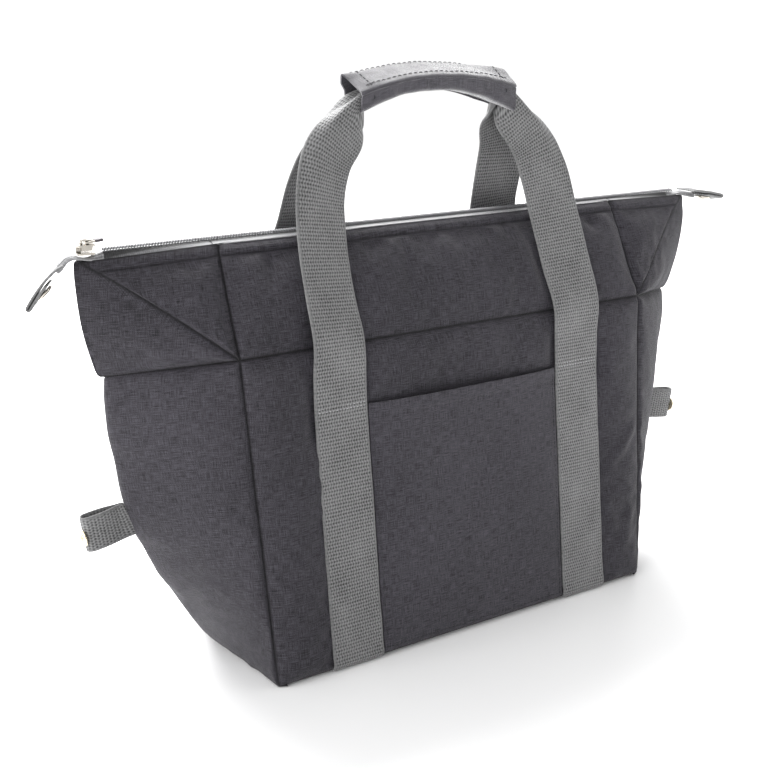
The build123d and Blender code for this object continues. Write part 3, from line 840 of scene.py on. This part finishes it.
def fold_binding():
    """The bound seam allowance behind the fold seam, so that no gap shows there when the mouth opens; it is
    coloured near black as painted shade for that gap.
    """
    x, y, reach, radius = FOLD_X - 0.002, FOLD_Y - 0.0054, RIDGE[0] - 0.0115, 0.0020
    right = [(x, -y, FOLD_Z), (reach, 0, RIDGE_Z), (x, y, FOLD_Z)]
    corners = np.array(right + [(-a, -b, c) for a, b, c in right])
    share = np.linspace(0, 1, 16, endpoint=False)[:, None]
    spans = zip(corners, np.roll(corners, -1, axis=0))
    path = drawn_in(np.vstack([a + (b - a) * share for a, b in spans]))
    ahead = np.roll(path, -1, axis=0) - np.roll(path, 1, axis=0)
    ahead /= np.linalg.norm(ahead, axis=1, keepdims=True)
    level = np.cross(ahead, (0, 0, 1))
    level /= np.linalg.norm(level, axis=1, keepdims=True)
    rise = np.cross(level, ahead)
    sides = 8
    angle = (np.arange(sides) * TURN / sides)[:, None]
    ring = path[:, None] + radius * (np.cos(angle) * level[:, None] + np.sin(angle) * rise[:, None])
    faces = []
    for i in range(len(path)):
        for k in range(sides):
            a, b = i * sides + k, i * sides + (k + 1) % sides
            c, d = (b + sides) % (len(path) * sides), (a + sides) % (len(path) * sides)
            faces.append((d, c, b, a))
    piece = mesh_piece("fold_seam_binding", ring.reshape(-1, 3), faces, SHADE_DARK_BINDING)
    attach(piece, "body_shell")


def base_panel():
    s, t = np.meshgrid(steps(2 * BASE_X, 0.006), steps(2 * BASE_Y, 0.006))
    y = (2 * t - 1) * BASE_Y
    x = (2 * s - 1) * (BASE_X + (SWELL[0][1] - BASE_X) * (1 - np.abs(2 * t - 1)))
    grid = np.dstack([x, y, np.zeros_like(x)])[:, ::-1]
    edge = line_distance(grid, [grid[0], grid[:, -1], grid[-1], grid[:, 0]])
    outer = grid + inward(grid) * (SEAM_DEPTH * np.exp(-((edge / GROOVE) ** 2)))[..., None]
    outer[..., 2] = 0.0004 * np.exp(-edge / 0.002) + 0.0002 * (1 + ruffle(grid, 0.03, 31))
    inner = outer.copy()
    inner[..., 2] = 0.0011
    piece = slab("base_panel", outer, inner, SHELL)
    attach(piece, "body_shell")
    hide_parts("base_cover")


# ---- webbing ----

def interpolated(keys, count):
    """A smooth run through rows of key values, evenly spaced along the first three, a path."""
    keys = np.asarray(keys, float)
    lengths = run_along(keys[:, :3])
    slopes = np.gradient(keys, lengths, axis=0)
    stations = np.linspace(0, lengths[-1], count)
    index = np.clip(np.searchsorted(lengths, stations, side="right") - 1, 0, len(keys) - 2)
    span = (lengths[index + 1] - lengths[index])[:, None]
    t = (stations - lengths[index])[:, None] / span
    a, b, ma, mb = keys[index], keys[index + 1], slopes[index] * span, slopes[index + 1] * span
    leaving = (2 * t**3 - 3 * t**2 + 1) * a + (t**3 - 2 * t**2 + t) * ma
    return leaving + (3 * t**2 - 2 * t**3) * b + (t**3 - t**2) * mb


def smoothstep(value):
    value = np.clip(value, 0, 1)
    return value * value * (3 - 2 * value)


def folded_profile(s, out_turn, in_turn, fold, bend=0.007):
    """Across and depth of each point of a strip whose edges turn back by two angles past the fold."""
    heading = in_turn * smoothstep((-s - fold + bend / 2) / bend)
    heading = heading - out_turn * smoothstep((s - fold + bend / 2) / bend)
    middle = len(s) // 2
    step = np.diff(s)
    average = (heading[1:] + heading[:-1]) / 2
    across = np.concatenate([[0], np.cumsum(np.cos(average) * step)])
    depth = np.concatenate([[0], np.cumsum(np.sin(average) * step)])
    return across - across[middle], depth - depth[middle]


def ribbon(name, keys, width, sign_x=1, sign_y=1, pitch=0.0025, wave=0.0, seed=0.0, squeeze=None):
    """Webbing along rows of (place, across, outer turn, inner turn, fold), the angles in degrees."""
    length = np.linalg.norm(np.diff(np.asarray(keys, float)[:, :3], axis=0), axis=1).sum()
    run = interpolated(keys, round(length / pitch) + 1)
    place, across = run[:, :3], run[:, 3:6]
    ahead = np.gradient(place, axis=0)
    ahead /= np.linalg.norm(ahead, axis=1, keepdims=True)
    across = across - ahead * np.sum(across * ahead, axis=1, keepdims=True)
    across /= np.linalg.norm(across, axis=1, keepdims=True)
    facing = np.cross(across, ahead)
    s = np.linspace(-width / 2, width / 2, round(width / 0.0022) | 1)
    rows = []
    for i in range(len(run)):
        x, depth = folded_profile(s, *np.radians(run[i, 6:8]), run[i, 8])
        rows.append(place[i] + x[:, None] * across[i] + depth[:, None] * facing[i])
    grid = np.array(rows)
    normals = grid_normals(grid)
    if wave:
        grid = grid + normals * (wave * ruffle(grid, 0.03, seed))[..., None]
    inner = grid - normals * WEBBING
    if squeeze:
        grid, inner = squeeze(grid), squeeze(inner)
    uv = np.dstack(np.meshgrid(s, run_along(place)))
    outer, inner, uv = (flip(value, sign_x, sign_y) for value in (grid, inner, uv))
    piece = slab(name, outer, inner, BELT, uv=uv, crisp=False, edge=width / 2 - np.abs(uv[..., 0]))
    return piece


def flip(grid, sign_x, sign_y):
    """A grid of places or of cloth coordinates carried to another side."""
    if grid.shape[2] == 3:
        return mirrored(grid, sign_x, sign_y)
    return grid if sign_x * sign_y > 0 else grid[:, ::-1]


def strap_keys(word, hand):
    """Rows for ribbon: a handle strap from the base seam into the grip, in the front right strap's place."""
    lean = STRAP_LEAN[word, hand]
    short = 0.0 if hand == "right" else GRIP_HALF + GRIP_LEFT
    tilt = STRAP_TILT[word]
    keys = [((STRAP_X, -BASE_Y + 0.0004, 0.0006), (1, 0, 0), 0, 0)]
    sewn = ((0.004, 0.0024), (0.012, 0.0021), (0.03, 0.0020), (0.10, 0.0020), (STITCH_Z - 0.01, 0.0021))
    for z, away in sewn:
        y, up = off_front(z, away)
        keys.append(((STRAP_X, y, up), (1, 0, 0), 0, 0))
    for z, away, shift in ((STITCH_Z + 0.002, 0.0026, 0.0), (0.200, 0.0040, 0.02), (0.218, 0.0060, 0.1)):
        y, up = off_front(z, away)
        keys.append(((STRAP_X - (0.004 + lean) * shift, y, up), (1, shift * 4 * tilt, 0), 0, 0))
    keys += [
        ((0.0985 - lean * 0.5, -0.0375, 0.252), (1, tilt, 0.02), 0, 0),
        ((0.0960 - lean, -0.0235, 0.288), (1, tilt, 0.06), 4, 0),
        ((0.0925 - lean * 0.9 - short * 0.1, -0.0165, 0.314), (0.99, tilt, 0.14), 14, 0),
        ((0.0860 - lean * 0.6 - short * 0.3, -0.0125, 0.335), (0.95, tilt * 0.8, 0.30), 42, 0),
        ((0.0745 - lean * 0.25 - short * 0.6, -0.0105, 0.3525), (0.82, tilt * 0.3, 0.57), 82, 12),
        ((0.0650 - short * 0.9, -0.0095, 0.3650), (0.66, 0, 0.75), 118, 80),
        ((0.0580 - short, -0.0088, 0.3715), (0.40, 0, 0.92), 152, 142),
        ((0.0470 - short, -0.0084, 0.3765), (0.22, 0, 0.97), 166, 166),
    ]
    rows = []
    for place, across, out, back in keys:
        fold = 0.0095 - 0.0028 * float(smoothstep((place[2] - 0.345) / 0.025))
        rows.append((*place, *across, out, back, fold))
    return rows


def squeezed(grid):
    """Folded webbing pressed to the height of the grip once it is inside."""
    inside = smoothstep((0.070 - np.abs(grid[..., 0])) / 0.016) * (grid[..., 2] > 0.355)
    line = grip_z(grid[..., 0])
    middle = line - 0.0022
    grid = grid.copy()
    grid[..., 2] += inside * (0.42 - 1) * (grid[..., 2] - line) + inside * (middle - line)
    return grid


def handles():
    for word, side in (("front", 1), ("back", -1)):
        for i, (hand, sign) in enumerate(HANDS):
            seed = 3.0 + i + (10 if side < 0 else 0)
            keys = strap_keys(word, hand)
            piece = ribbon(f"{word}_{hand}_strap", keys, STRAP_WIDTH, sign, side, wave=0.0006, seed=seed,
                           squeeze=squeezed)
            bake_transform(piece)
            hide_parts(f"{word}_{hand}_sewn_strap", f"{word}_{hand}_handle_strap")
        run = [(x, -0.0084, grip_z(x), 0, 0, 1, 166, 166, 0.0067) for x in np.linspace(0.049, -0.043, 9)]
        piece = ribbon(f"{word}_handle_run", run, STRAP_WIDTH, 1, side, squeeze=squeezed)
        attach(piece, f"{word}_handle")
        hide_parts(f"{word}_handle_grip_run")


# ---- grip ----

def grip_z(x):
    return GRIP_MID_Z - GRIP_ARCH * (x / GRIP_HALF) ** 2


def rounded_line(corners, radii, count):
    """A polyline whose inner corners are rounded, in (y, z), as evenly spaced points."""
    corners = [np.array(p, float) for p in corners]
    points = [corners[0]]
    for before, here, after, radius in zip(corners, corners[1:], corners[2:], radii):
        a = here + (before - here) / np.linalg.norm(before - here) * radius
        b = here + (after - here) / np.linalg.norm(after - here) * radius
        for t in np.linspace(0, 1, 8):
            points.append((1 - t) ** 2 * a + 2 * t * (1 - t) * here + t * t * b)
    points = np.array([*points, corners[-1]])
    run = run_along(points)
    stations = np.linspace(0, run[-1], count)
    return np.column_stack([np.interp(stations, run, points[:, k]) for k in range(2)])


def grip_levels(x):
    """At a station, the grip's back top, front top and underside above its middle line, and its back."""
    share = (x / GRIP_HALF) ** 2
    middles = (0.0092, 0.0016, -0.0092, 0.0130)
    ends = (0.0100, -0.0003, -0.0150, 0.0095) if x < 0 else (0.0145, 0.0030, -0.0160, 0.0050)
    return [middle + (end - middle) * share for middle, end in zip(middles, ends)]


def grip_sheet(name, corners, radii, count, seed, shape_end=None):
    """Fabric carried along the grip's arch; corners gives a section's (y, z) corners from grip_levels."""
    stations = np.linspace(GRIP_LEFT, GRIP_HALF, GRIP_STATIONS)
    lines = [rounded_line(corners(*grip_levels(x)), radii, count) + (0, grip_z(x)) for x in stations]
    grid = np.array([np.column_stack([np.full(count, x), line]) for x, line in zip(stations, lines)])
    grid = grid.transpose(1, 0, 2)
    if shape_end:
        grid = shape_end(grid)
    normals = grid_normals(grid)
    grid = grid + normals * (0.0007 * ruffle(grid, 0.018, seed, 3))[..., None]
    middle = lines[GRIP_STATIONS // 2]
    run = np.linspace(0, np.linalg.norm(np.diff(middle, axis=0), axis=1).sum(), count)
    uv = np.dstack(np.meshgrid(stations, run))
    piece = slab(name, grid, grid - normals * 0.0013, LIGHTENED_GRIP_CLOTH, uv=uv)
    return piece, grid


def raw_corner(grid):
    """The flap's back corner at the left end sticks out and up, unstitched."""
    near = np.exp(-(((grid[..., 0] - GRIP_LEFT) / 0.009) ** 2))
    back = np.exp(-(((grid[..., 1] - 0.0095) / 0.006) ** 2)) * (grid[..., 2] > grip_z(GRIP_LEFT))
    grid = grid.copy()
    grid[..., 0] -= 0.0030 * near * back
    grid[..., 2] += 0.0022 * near * back
    return grid


def under_corners(back, front, low, depth):
    return [(depth - 0.0018, low + 0.0006), (-0.0125, low), (-0.0130, front - 0.0022)]


def over_corners(back, front, low, depth):
    under = (depth - 0.0045, low - 0.0006)
    return [(-0.0130, front - 0.0022), (-0.0122, front + 0.0002), (depth, back), (depth, low), under]


def grip():
    wrap, under = grip_sheet("grip_wrap_cloth", under_corners, [0.0045], 24, 41)
    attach(wrap, "front_handle")
    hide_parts("grip_wrap")
    flap, over = grip_sheet("grip_flap_cloth", over_corners, [0.0016, 0.0045, 0.0025], 36, 42, raw_corner)
    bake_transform(flap)
    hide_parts("grip_flap")
    grip_stitches(over, under)


def grip_stitches(over, under):
    """Two long rows on the flap's top, and a row across each end that runs on down the wrap's front."""
    normals = grid_normals(over)
    lift = over + normals * 0.0002
    middle = GRIP_STATIONS // 2
    top = [i for i in range(len(over)) if normals[i, middle, 2] > 0.8]
    rows = [(lift[i, 2:-2], normals[i, 2:-2]) for i in (top[2], top[-2])]
    rows += [(lift[top[0]:top[-1], column], normals[top[0]:top[-1], column]) for column in (4, -5)]
    piece = stitched("grip_top_stitches", rows, THREAD, 0.0042, 0.0030, 0.00042)
    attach(piece, "flap")
    normals = grid_normals(under)
    lift = under + normals * 0.0002
    front = [i for i in range(len(under)) if normals[i, middle, 1] < -0.6]
    span = slice(front[0], front[-1] + 1)
    rows = [(lift[span, column], normals[span, column]) for column in (4, -5)]
    piece = stitched("grip_side_stitches", rows, THREAD, 0.0042, 0.0030, 0.00042)
    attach(piece, "front_handle")


# ---- pocket ----

def pocket():
    """The front patch pocket: it stands off the wall, most at its open top, and has a turned hem there."""
    half = (POCKET_HIGH.x - POCKET_LOW.x) / 2
    levels = np.concatenate([steps(0.164, 0.004) * POCKET_HEM_SHARE, [0.952, 0.975, 1.0]])
    s, t = np.meshgrid(steps(2 * half, 0.004), levels)
    x = (2 * s - 1) * half
    z = 0.004 + t * (POCKET_HIGH.z - 0.0050)
    side = half - np.abs(x)
    gap = np.minimum(side, z - 0.004)
    away = 0.0012 + 0.0030 * (1 - np.exp(-gap / 0.012))
    away = away + 0.0030 * t**7 * (1 - (x / half) ** 4)
    y0 = front_y(z)
    flat = np.dstack([x, y0, z])
    away = away + 0.0012 * ruffle(flat, 0.05, 51) * (1 - np.exp(-gap / 0.01))
    away = away + 0.0006 * ruffle(flat, 0.009, 52, 2) * np.exp(-(((gap - 0.006) / 0.005) ** 2))
    away = away + np.where(t > 0.947, 0.0007, 0.0)
    away = away - np.where(np.abs(t - POCKET_HEM_SHARE) < 0.001, 0.0005, 0)
    length = math.hypot(FOLD_Z, BASE_Y - FOLD_Y)
    outward = np.array([0, -FOLD_Z / length, (BASE_Y - FOLD_Y) / length])
    grid = flat + away[..., None] * outward
    inner = grid - 0.0012 * outward
    piece = slab("front_pocket_patch", grid, inner, POCKET_CLOTH, uv=arc_lengths(flat), crisp=False)
    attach(piece, "body_shell")
    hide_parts("front_pocket", "front_pocket_hem")
    normals = grid_normals(grid)
    rows = [(grid[-4], normals[-4])]
    for column in (2, -3):
        rows.append((grid[1:-1, column], normals[1:-1, column]))
    rows.append((grid[2, 1:-1], normals[2, 1:-1]))
    stitches = stitched("pocket_stitches", rows, THREAD)
    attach(stitches, "body_shell")


def strap_stitches():
    """The light row of stitches across each strap where it leaves the wall."""
    for word, side in (("front", 1), ("back", -1)):
        rows = []
        for sign in (1, -1):
            for height in (STITCH_Z - 0.0015, STITCH_Z - 0.0038):
                y, z = off_front(height, 0.0023)
                x = np.linspace(-STRAP_HALF + 0.0015, STRAP_HALF - 0.0015, 12)
                path = np.column_stack([x + sign * STRAP_X, np.full(12, side * y), np.full(12, z)])
                rows.append((path, np.array([0.0, -side * 1.0, 0.14])))
        piece = stitched(f"{word}_strap_stitches", rows, PALE_THREAD, 0.0026, 0.0022, 0.00035)
        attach(piece, "body_shell")


# ---- zip ----

def tape_line(x):
    """(outer y, its z) of the zip tape's sewn edge at a distance along the zip."""
    share = np.clip((np.abs(x) - BAND_X) / (TIP[0] - BAND_X), 0, 1)
    return HEM_Y + (-TIP[1] - HEM_Y) * share - 0.0013, TOP_Z - 0.0004 + (TIP[2] - TOP_Z) * share - edge_dip(x)


def tape_grid(x0, x1, side):
    s, t = np.meshgrid(np.linspace(x0, x1, round(abs(x1 - x0) / 0.004) + 2), np.linspace(0, 1, 5))
    out, low = tape_line(s)
    inner = 0.0007
    high = TAPE_Z - TAPE_DROP
    y = out + (inner - out) * t
    z = low + (high - low) * (t ** 0.8)
    return mirrored(np.dstack([s, -y, z]), 1, side)


def coil_teeth(name, x0, x1, side, pitch=0.0019):
    """A row of coil teeth, each a rounded loop over the tape's edge."""
    points, faces = [], []
    for x in np.arange(x0 + pitch / 2, x1, pitch):
        z = TAPE_Z - COIL_DROP
        shift = 0.0 if side < 0 else pitch / 2
        spine = [(0.0032, -0.0004), (0.0029, 0.0006), (0.0016, 0.0012), (0.0002, 0.0009), (-0.0003, 0.0001)]
        first = len(points)
        for j, (y, up) in enumerate(spine):
            before, after = spine[max(j - 1, 0)], spine[min(j + 1, 4)]
            along = Vector((0, after[0] - before[0], after[1] - before[1])).normalized()
            lift = Vector((0, -along.z, along.y))
            for k in range(6):
                angle = TURN * k / 6
                ring = Vector((0.00055 * math.cos(angle), 0, 0)) + lift * (0.00045 * math.sin(angle))
                points.append((x + shift + ring.x, side * (y + ring.y), z + up + ring.z))
        faces += tube_faces(first, len(spine), 6, flipped=side < 0)
    piece = mesh_piece(name, points, faces, COIL)
    return piece


def zip_rows():
    """Tape and coil on each half: the middle rides the top, the ends stay where they are built."""
    for word, side in (("front", -1), ("back", 1)):
        spans = (("", -BAND_X, BAND_X), ("left_", -TAPE_X, -BAND_X), ("right_", BAND_X, TAPE_X))
        for hand, x0, x1 in spans:
            grid = tape_grid(x0, x1, -side)
            uv = np.dstack([grid[..., 0], np.abs(grid[..., 1])])
            under = grid - grid_normals(grid) * 0.0007
            tape = slab(f"{word}_{hand}tape", grid, under, TAPE, uv=uv, crisp=False)
            coil = coil_teeth(f"{word}_{hand}coil", x0, x1, side)
            for piece in (tape, coil):
                if hand:
                    bend_wing(piece)
                else:
                    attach(piece, f"{word}_top")
            if not hand:
                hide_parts(f"{word}_zip_tape")
                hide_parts(f"{word}_zip_coil")


def tab_frame(hand):
    """Where a tab hangs, right-handed: its root, and its way out, across and up."""
    droop, yaw = math.radians(TAB_DROOP[hand]), math.radians(TAB_YAW[hand])
    root = np.array([TAB_X, 0, TOP_Z + 0.0005 - 0.006 * TAB_DROOP[hand] / TAB_DROOP["left"]])
    out = np.array([math.cos(droop) * math.cos(yaw), math.cos(droop) * math.sin(yaw), -math.sin(droop)])
    wide = np.array([-math.sin(yaw), math.cos(yaw), 0])
    return root, out, wide, np.cross(out, wide)


def zip_ends():
    """Past the coil the two tapes gather to a fan that is caught in the tab's seam, over it or under it."""
    for hand, sign, over in (("right", 1, -1), ("left", -1, 1)):
        root, out, wide, up = tab_frame(hand)
        edge, low = tape_line(sign * TAPE_X)
        first = np.array([TAPE_X - 0.0010, 0, TAPE_Z - TAPE_DROP])
        lie = root + up * (over * 0.0016)
        middle = first + (0.0105, 0, -0.0030 if hand == "left" else -0.0012)
        path = [first, (first + middle) / 2, middle, lie - out * 0.003, lie + out * 0.007]
        keys = interpolated(np.array(path), 16)
        share = np.linspace(0, 1, 16)
        half = np.interp(share, (0, 0.35, 0.6, 0.75, 1), (edge, 0.0044, 0.0036, 0.0042, 0.0062))
        t = np.linspace(-1, 1, 11)
        sag = (1 - smoothstep(share / 0.45))[:, None] * (first[2] - low) * t**2
        turned = smoothstep((share - 0.35) / 0.3)[:, None]
        across = (1 - turned) * (0, 1, 0) + turned * wide
        rise = (1 - turned) * (0, 0, 1) + turned * up
        gathered = smoothstep((share - 0.4) / 0.3)[:, None]
        pleat = 0.0010 * np.sin(9 * t + 1.0) * gathered
        grid = keys[:, None] + across[:, None] * (half[:, None] * t)[..., None]
        grid += rise[:, None] * (pleat - sag)[..., None]
        inner = grid - rise[:, None] * (0.0010 + 0.0016 * gathered)[..., None]
        grid, inner = mirrored(grid[:, ::-1], sign, 1), mirrored(inner[:, ::-1], sign, 1)
        piece = slab(f"{hand}_zip_tail", grid, inner, TAIL, crisp=False)
        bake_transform(piece)
        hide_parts(f"{hand}_zip_end")


# ---- tabs, loops and snaps ----

# Sections of the two turned snap parts, as (radius, height).
SOCKET = [(0.0058, -0.0002), (0.0060, 0.0004), (0.0058, 0.0012), (0.0046, 0.0019), (0.0036, 0.0021),
          (0.0028, 0.0016), (0.0025, 0.0006), (0.0, 0.0004)]
STUD = [(0.0054, -0.0006), (0.0059, 0.0), (0.0057, 0.0007), (0.0050, 0.0010), (0.0042, 0.0007),
        (0.0030, 0.0006), (0.0024, 0.0008), (0.0019, 0.0012), (0.0020, 0.0018), (0.0023, 0.0022),
        (0.0018, 0.0026), (0.0, 0.0027)]


def lathe(name, profile, mat, origin, axis, segments=40):
    """A turned part: (radius, height) pairs round an axis."""
    turn = Vector((0, 0, 1)).rotation_difference(Vector(axis)).to_matrix()
    points = []
    for radius, height in profile:
        for k in range(segments):
            angle = TURN * k / segments
            ring = Vector((radius * math.cos(angle), radius * math.sin(angle), height))
            points.append(Vector(origin) + turn @ ring)
    return mesh_piece(name, points, tube_faces(0, len(profile), segments), mat)


def tab(hand, sign):
    """A webbing tab that droops from one zip end, folded under at its tip, its snap socket beneath."""
    root, out, wide, up = tab_frame(hand)
    length, curl = TAB_LENGTH[hand], math.radians(20 if hand == "left" else 8)
    stations = np.linspace(0, 1, 22)
    bend = curl * (stations - 0.45)
    along = np.concatenate([[0], np.cumsum(np.cos(bend[1:]) * length / 21)])
    drop = np.concatenate([[0], np.cumsum(np.sin(bend[1:]) * length / 21)])
    line = np.column_stack([along, -drop])
    square = np.column_stack([np.sin(bend), np.cos(bend)])
    thick = (0.0009 + 0.0010 * smoothstep(stations / 0.14))[:, None]
    upper, lower = line + square * thick, line - square * thick
    ahead = np.array([square[-1, 1], -square[-1, 0]])
    turns = np.linspace(0.3, math.pi - 0.3, 7)
    arc = [line[-1] + thick[-1] * (ahead * math.sin(a) * 1.2 + square[-1] * math.cos(a)) for a in turns]
    path = np.vstack([upper, arc, lower[10:][::-1]])
    run = run_along(path)
    width = np.linspace(-TAB_HALF, TAB_HALF, 13)
    roll = TAB_ROLL[hand] * smoothstep(path[:, 0] / length)
    tipped = np.cos(roll)[:, None] * wide - np.sin(roll)[:, None] * up
    spine = root + path[:, :1] * out + path[:, 1:] * up
    grid = spine[:, None] + tipped[:, None] * width[None, :, None]
    grid[..., 2] += 0.0005 * ruffle(grid, 0.012, 61 + sign)
    grid = mirrored(grid[:, ::-1], sign, 1)
    uv = np.dstack(np.meshgrid(width, run))
    piece = slab(f"{hand}_tab_cloth", grid, grid - grid_normals(grid) * 0.0016, BELT, uv=uv, crisp=False,
                 edge=TAB_HALF - np.abs(uv[..., 0]))
    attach(piece, f"{hand}_tab")
    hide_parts(f"{hand}_tab_webbing")
    spot = round(21 * (1 - SNAP_INSET / length))
    side_roll = TAB_ROLL[hand] * float(smoothstep(along[spot] / length))
    down = -(up * math.cos(side_roll) + wide * math.sin(side_roll))
    origin = root + lower[spot, 0] * out + lower[spot, 1] * up + down * 0.0004
    flipped = np.array([sign, 1, 1])
    socket = lathe(f"{hand}_tab_socket", SOCKET, NICKEL, drawn_in(origin * flipped), down * flipped)
    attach(socket, f"{hand}_tab")
    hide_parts(f"{hand}_tab_snap_socket")
    tab_bartack(hand, flipped)


def tab_bartack(hand, flipped):
    """Close pale stitches through the tape and across the tab's root."""
    root, out, wide, up = tab_frame(hand)
    rows = []
    for ahead in (0.0025, 0.0038):
        y = np.linspace(-0.0060, 0.0060, 9)
        path = root + out * ahead + up * 0.0031 + wide * y[:, None]
        rows.append((drawn_in(path * flipped), up * flipped))
    piece = stitched(f"{hand}_tab_bartack", rows, WHITE_THREAD, 0.0017, 0.0015, 0.0004)
    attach(piece, f"{hand}_tab")


def side_loop(hand, sign):
    """Webbing folded into a loop that stands out from the end ridge, a stud through its tip."""
    x = np.array([-0.002, 0.002, 0.006, 0.010, 0.014, 0.018, 0.022, LOOP_TIP])
    half = np.array([0.0016, 0.0016, 0.0018, 0.0028, 0.0036, 0.0041, 0.0043, 0.0042])
    tip = [(LOOP_TIP + 0.0054 * math.sin(a), 0.0042 * math.cos(a)) for a in np.linspace(0, math.pi, 13)[1:-1]]
    path = np.vstack([np.column_stack([x, half]), tip, np.column_stack([x, -half])[::-1]])[::-1]
    run = run_along(path)
    rise = np.linspace(-LOOP_HEIGHT / 2, LOOP_HEIGHT / 2, 13)
    grid = np.zeros((13, len(path), 3))
    grid[..., 0] = path[None, :, 0]
    grid[..., 1] = path[None, :, 1]
    grid[..., 2] = rise[:, None]
    grid[..., 1] += 0.0003 * ruffle(grid, 0.015, 71 + sign)
    ahead, sink = math.cos(LOOP_DROOP), math.sin(LOOP_DROOP)
    turn = np.array([[ahead, 0, sink], [0, 1, 0], [-sink, 0, ahead]])
    ridge = swell_x(LOOP_Z + rise)[:, None] - swell_x(LOOP_Z)
    grid[..., 0] += ridge * np.exp(-np.maximum(grid[..., 0], 0) / 0.006)
    normals = grid_normals(grid)
    inner = grid - normals * 0.0014
    place = np.array([swell_x(LOOP_Z) - 0.0002, 0, LOOP_Z])
    outer, inner = (mirrored(g @ turn.T + place, sign, 1) for g in (grid, inner))
    uv = np.dstack(np.meshgrid(run, rise))[..., ::-1]
    uv = uv if sign > 0 else uv[:, ::-1]
    edge = LOOP_HEIGHT / 2 - np.abs(uv[..., 0])
    piece = slab(f"{hand}_loop_cloth", outer, inner, BELT, uv=uv, crisp=False, edge=edge)
    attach(piece, f"{hand}_loop")
    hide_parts(f"{hand}_side_loop")
    axis = Vector((ahead, 0, -sink))
    spot = Vector(place) + Vector(turn @ np.array([0.0313, 0, -0.002]))
    spot.x *= sign
    spot = Vector(drawn_in(spot))
    axis.x *= sign
    part = lathe(f"{hand}_loop_snap", STUD, BRASS, spot, axis)
    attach(part, f"{hand}_loop")
    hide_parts(f"{hand}_loop_stud")


# ---- carried-over frame parts, studio ----

def dress_frame():
    """Materials for the frame's own parts that stay in view."""
    finish = {name: NICKEL for name in ("zip_slider_body", "zip_slider_bridge", "zip_pull_link")}
    finish.update({"zip_pull_tab": PULL, "base_foam": BASE_FOAM})
    finish.update({"base_stiffener": BOARD, "base_lining": FOIL})
    for place in ("front", "back", "right", "left"):
        finish[f"{place}_wall_lining"] = FOIL
    for name, mat in finish.items():
        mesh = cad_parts[name].data
        mesh.materials.clear()
        mesh.materials.append(mat)


def area_light(name, place, aim, size, power):
    light = bpy.data.lights.new(name, "AREA")
    light.shape = "RECTANGLE"
    light.size, light.size_y = size
    light.energy = power
    lamp = bpy.data.objects.new(name, light)
    lamp.location = place
    lamp.rotation_euler = (Vector(aim) - Vector(place)).to_track_quat("-Z", "Y").to_euler()
    bpy.context.scene.collection.objects.link(lamp)


def studio():
    """A pale floor, a sky that is dimmer to the front right, and three lamps."""
    mat, tree, shader = material("pale_floor")
    place = node(tree, "ShaderNodeTexCoord").outputs["Object"]
    grain = node(tree, "ShaderNodeTexNoise", {"Vector": place, "Scale": 6.0, "Detail": 2.0}).outputs["Fac"]
    colour = ramp(tree, grain, [(0.0, (0.95, 0.95, 0.952)), (1.0, (0.97, 0.97, 0.97))])
    tree.links.new(colour, shader.inputs["Base Color"])
    shader.inputs["Roughness"].default_value = 0.35
    corners = [(x, y, -0.0003) for x, y in ((-40, -40), (40, -40), (40, 40), (-40, 40))]
    floor = mesh_piece("studio_floor", corners, [(0, 1, 2, 3)], mat, smooth=False)
    world = bpy.data.worlds.new("studio")
    world.use_nodes = True
    sky = world.node_tree
    toward = node(sky, "ShaderNodeTexCoord").outputs["Generated"]
    dim_side = node(sky, "ShaderNodeVectorMath", {0: toward, 1: (0.45, -0.87, 0.10)}, operation="DOT_PRODUCT")
    fade = node(sky, "ShaderNodeClamp", {"Value": dim_side.outputs["Value"]}).outputs[0]
    strength = maths(sky, "SUBTRACT", 1.25, maths(sky, "MULTIPLY", fade, 1.14))
    sky.links.new(strength, sky.nodes["Background"].inputs["Strength"])
    sky.nodes["Background"].inputs["Color"].default_value = (1, 1, 1, 1)
    bpy.context.scene.world = world
    area_light("key", (-1.7, -0.35, 0.8), (0, 0, 0.2), (1.6, 1.2), 20)
    area_light("back", (0.1, 1.3, 1.5), (0, 0, 0.3), (2.0, 1.2), 100)
    area_light("side", (1.3, -0.8, 0.4), (0.1, 0, 0.2), (0.7, 0.7), 6)
    bpy.context.scene.view_settings.view_transform = "Standard"


def camera():
    lens = bpy.data.cameras.new("camera")
    lens.lens = LENS
    lens.sensor_width = 36
    eye = bpy.data.objects.new("camera", lens)
    eye.location = EYE
    aim = (Vector(AIM) - Vector(eye.location)).to_track_quat("-Z", "Y")
    eye.rotation_euler = (aim.to_matrix() @ Matrix.Rotation(math.radians(ROLL), 3, "Z")).to_euler()
    bpy.context.scene.collection.objects.link(eye)
    bpy.context.scene.camera = eye


camera()
studio()
build_panels()
lower_panels()
upper_panels()
fold_binding()
base_panel()
handles()
grip()
pocket()
strap_stitches()
zip_rows()
zip_ends()
for HAND, SIGN in HANDS:
    tab(HAND, SIGN)
    side_loop(HAND, SIGN)
dress_frame()
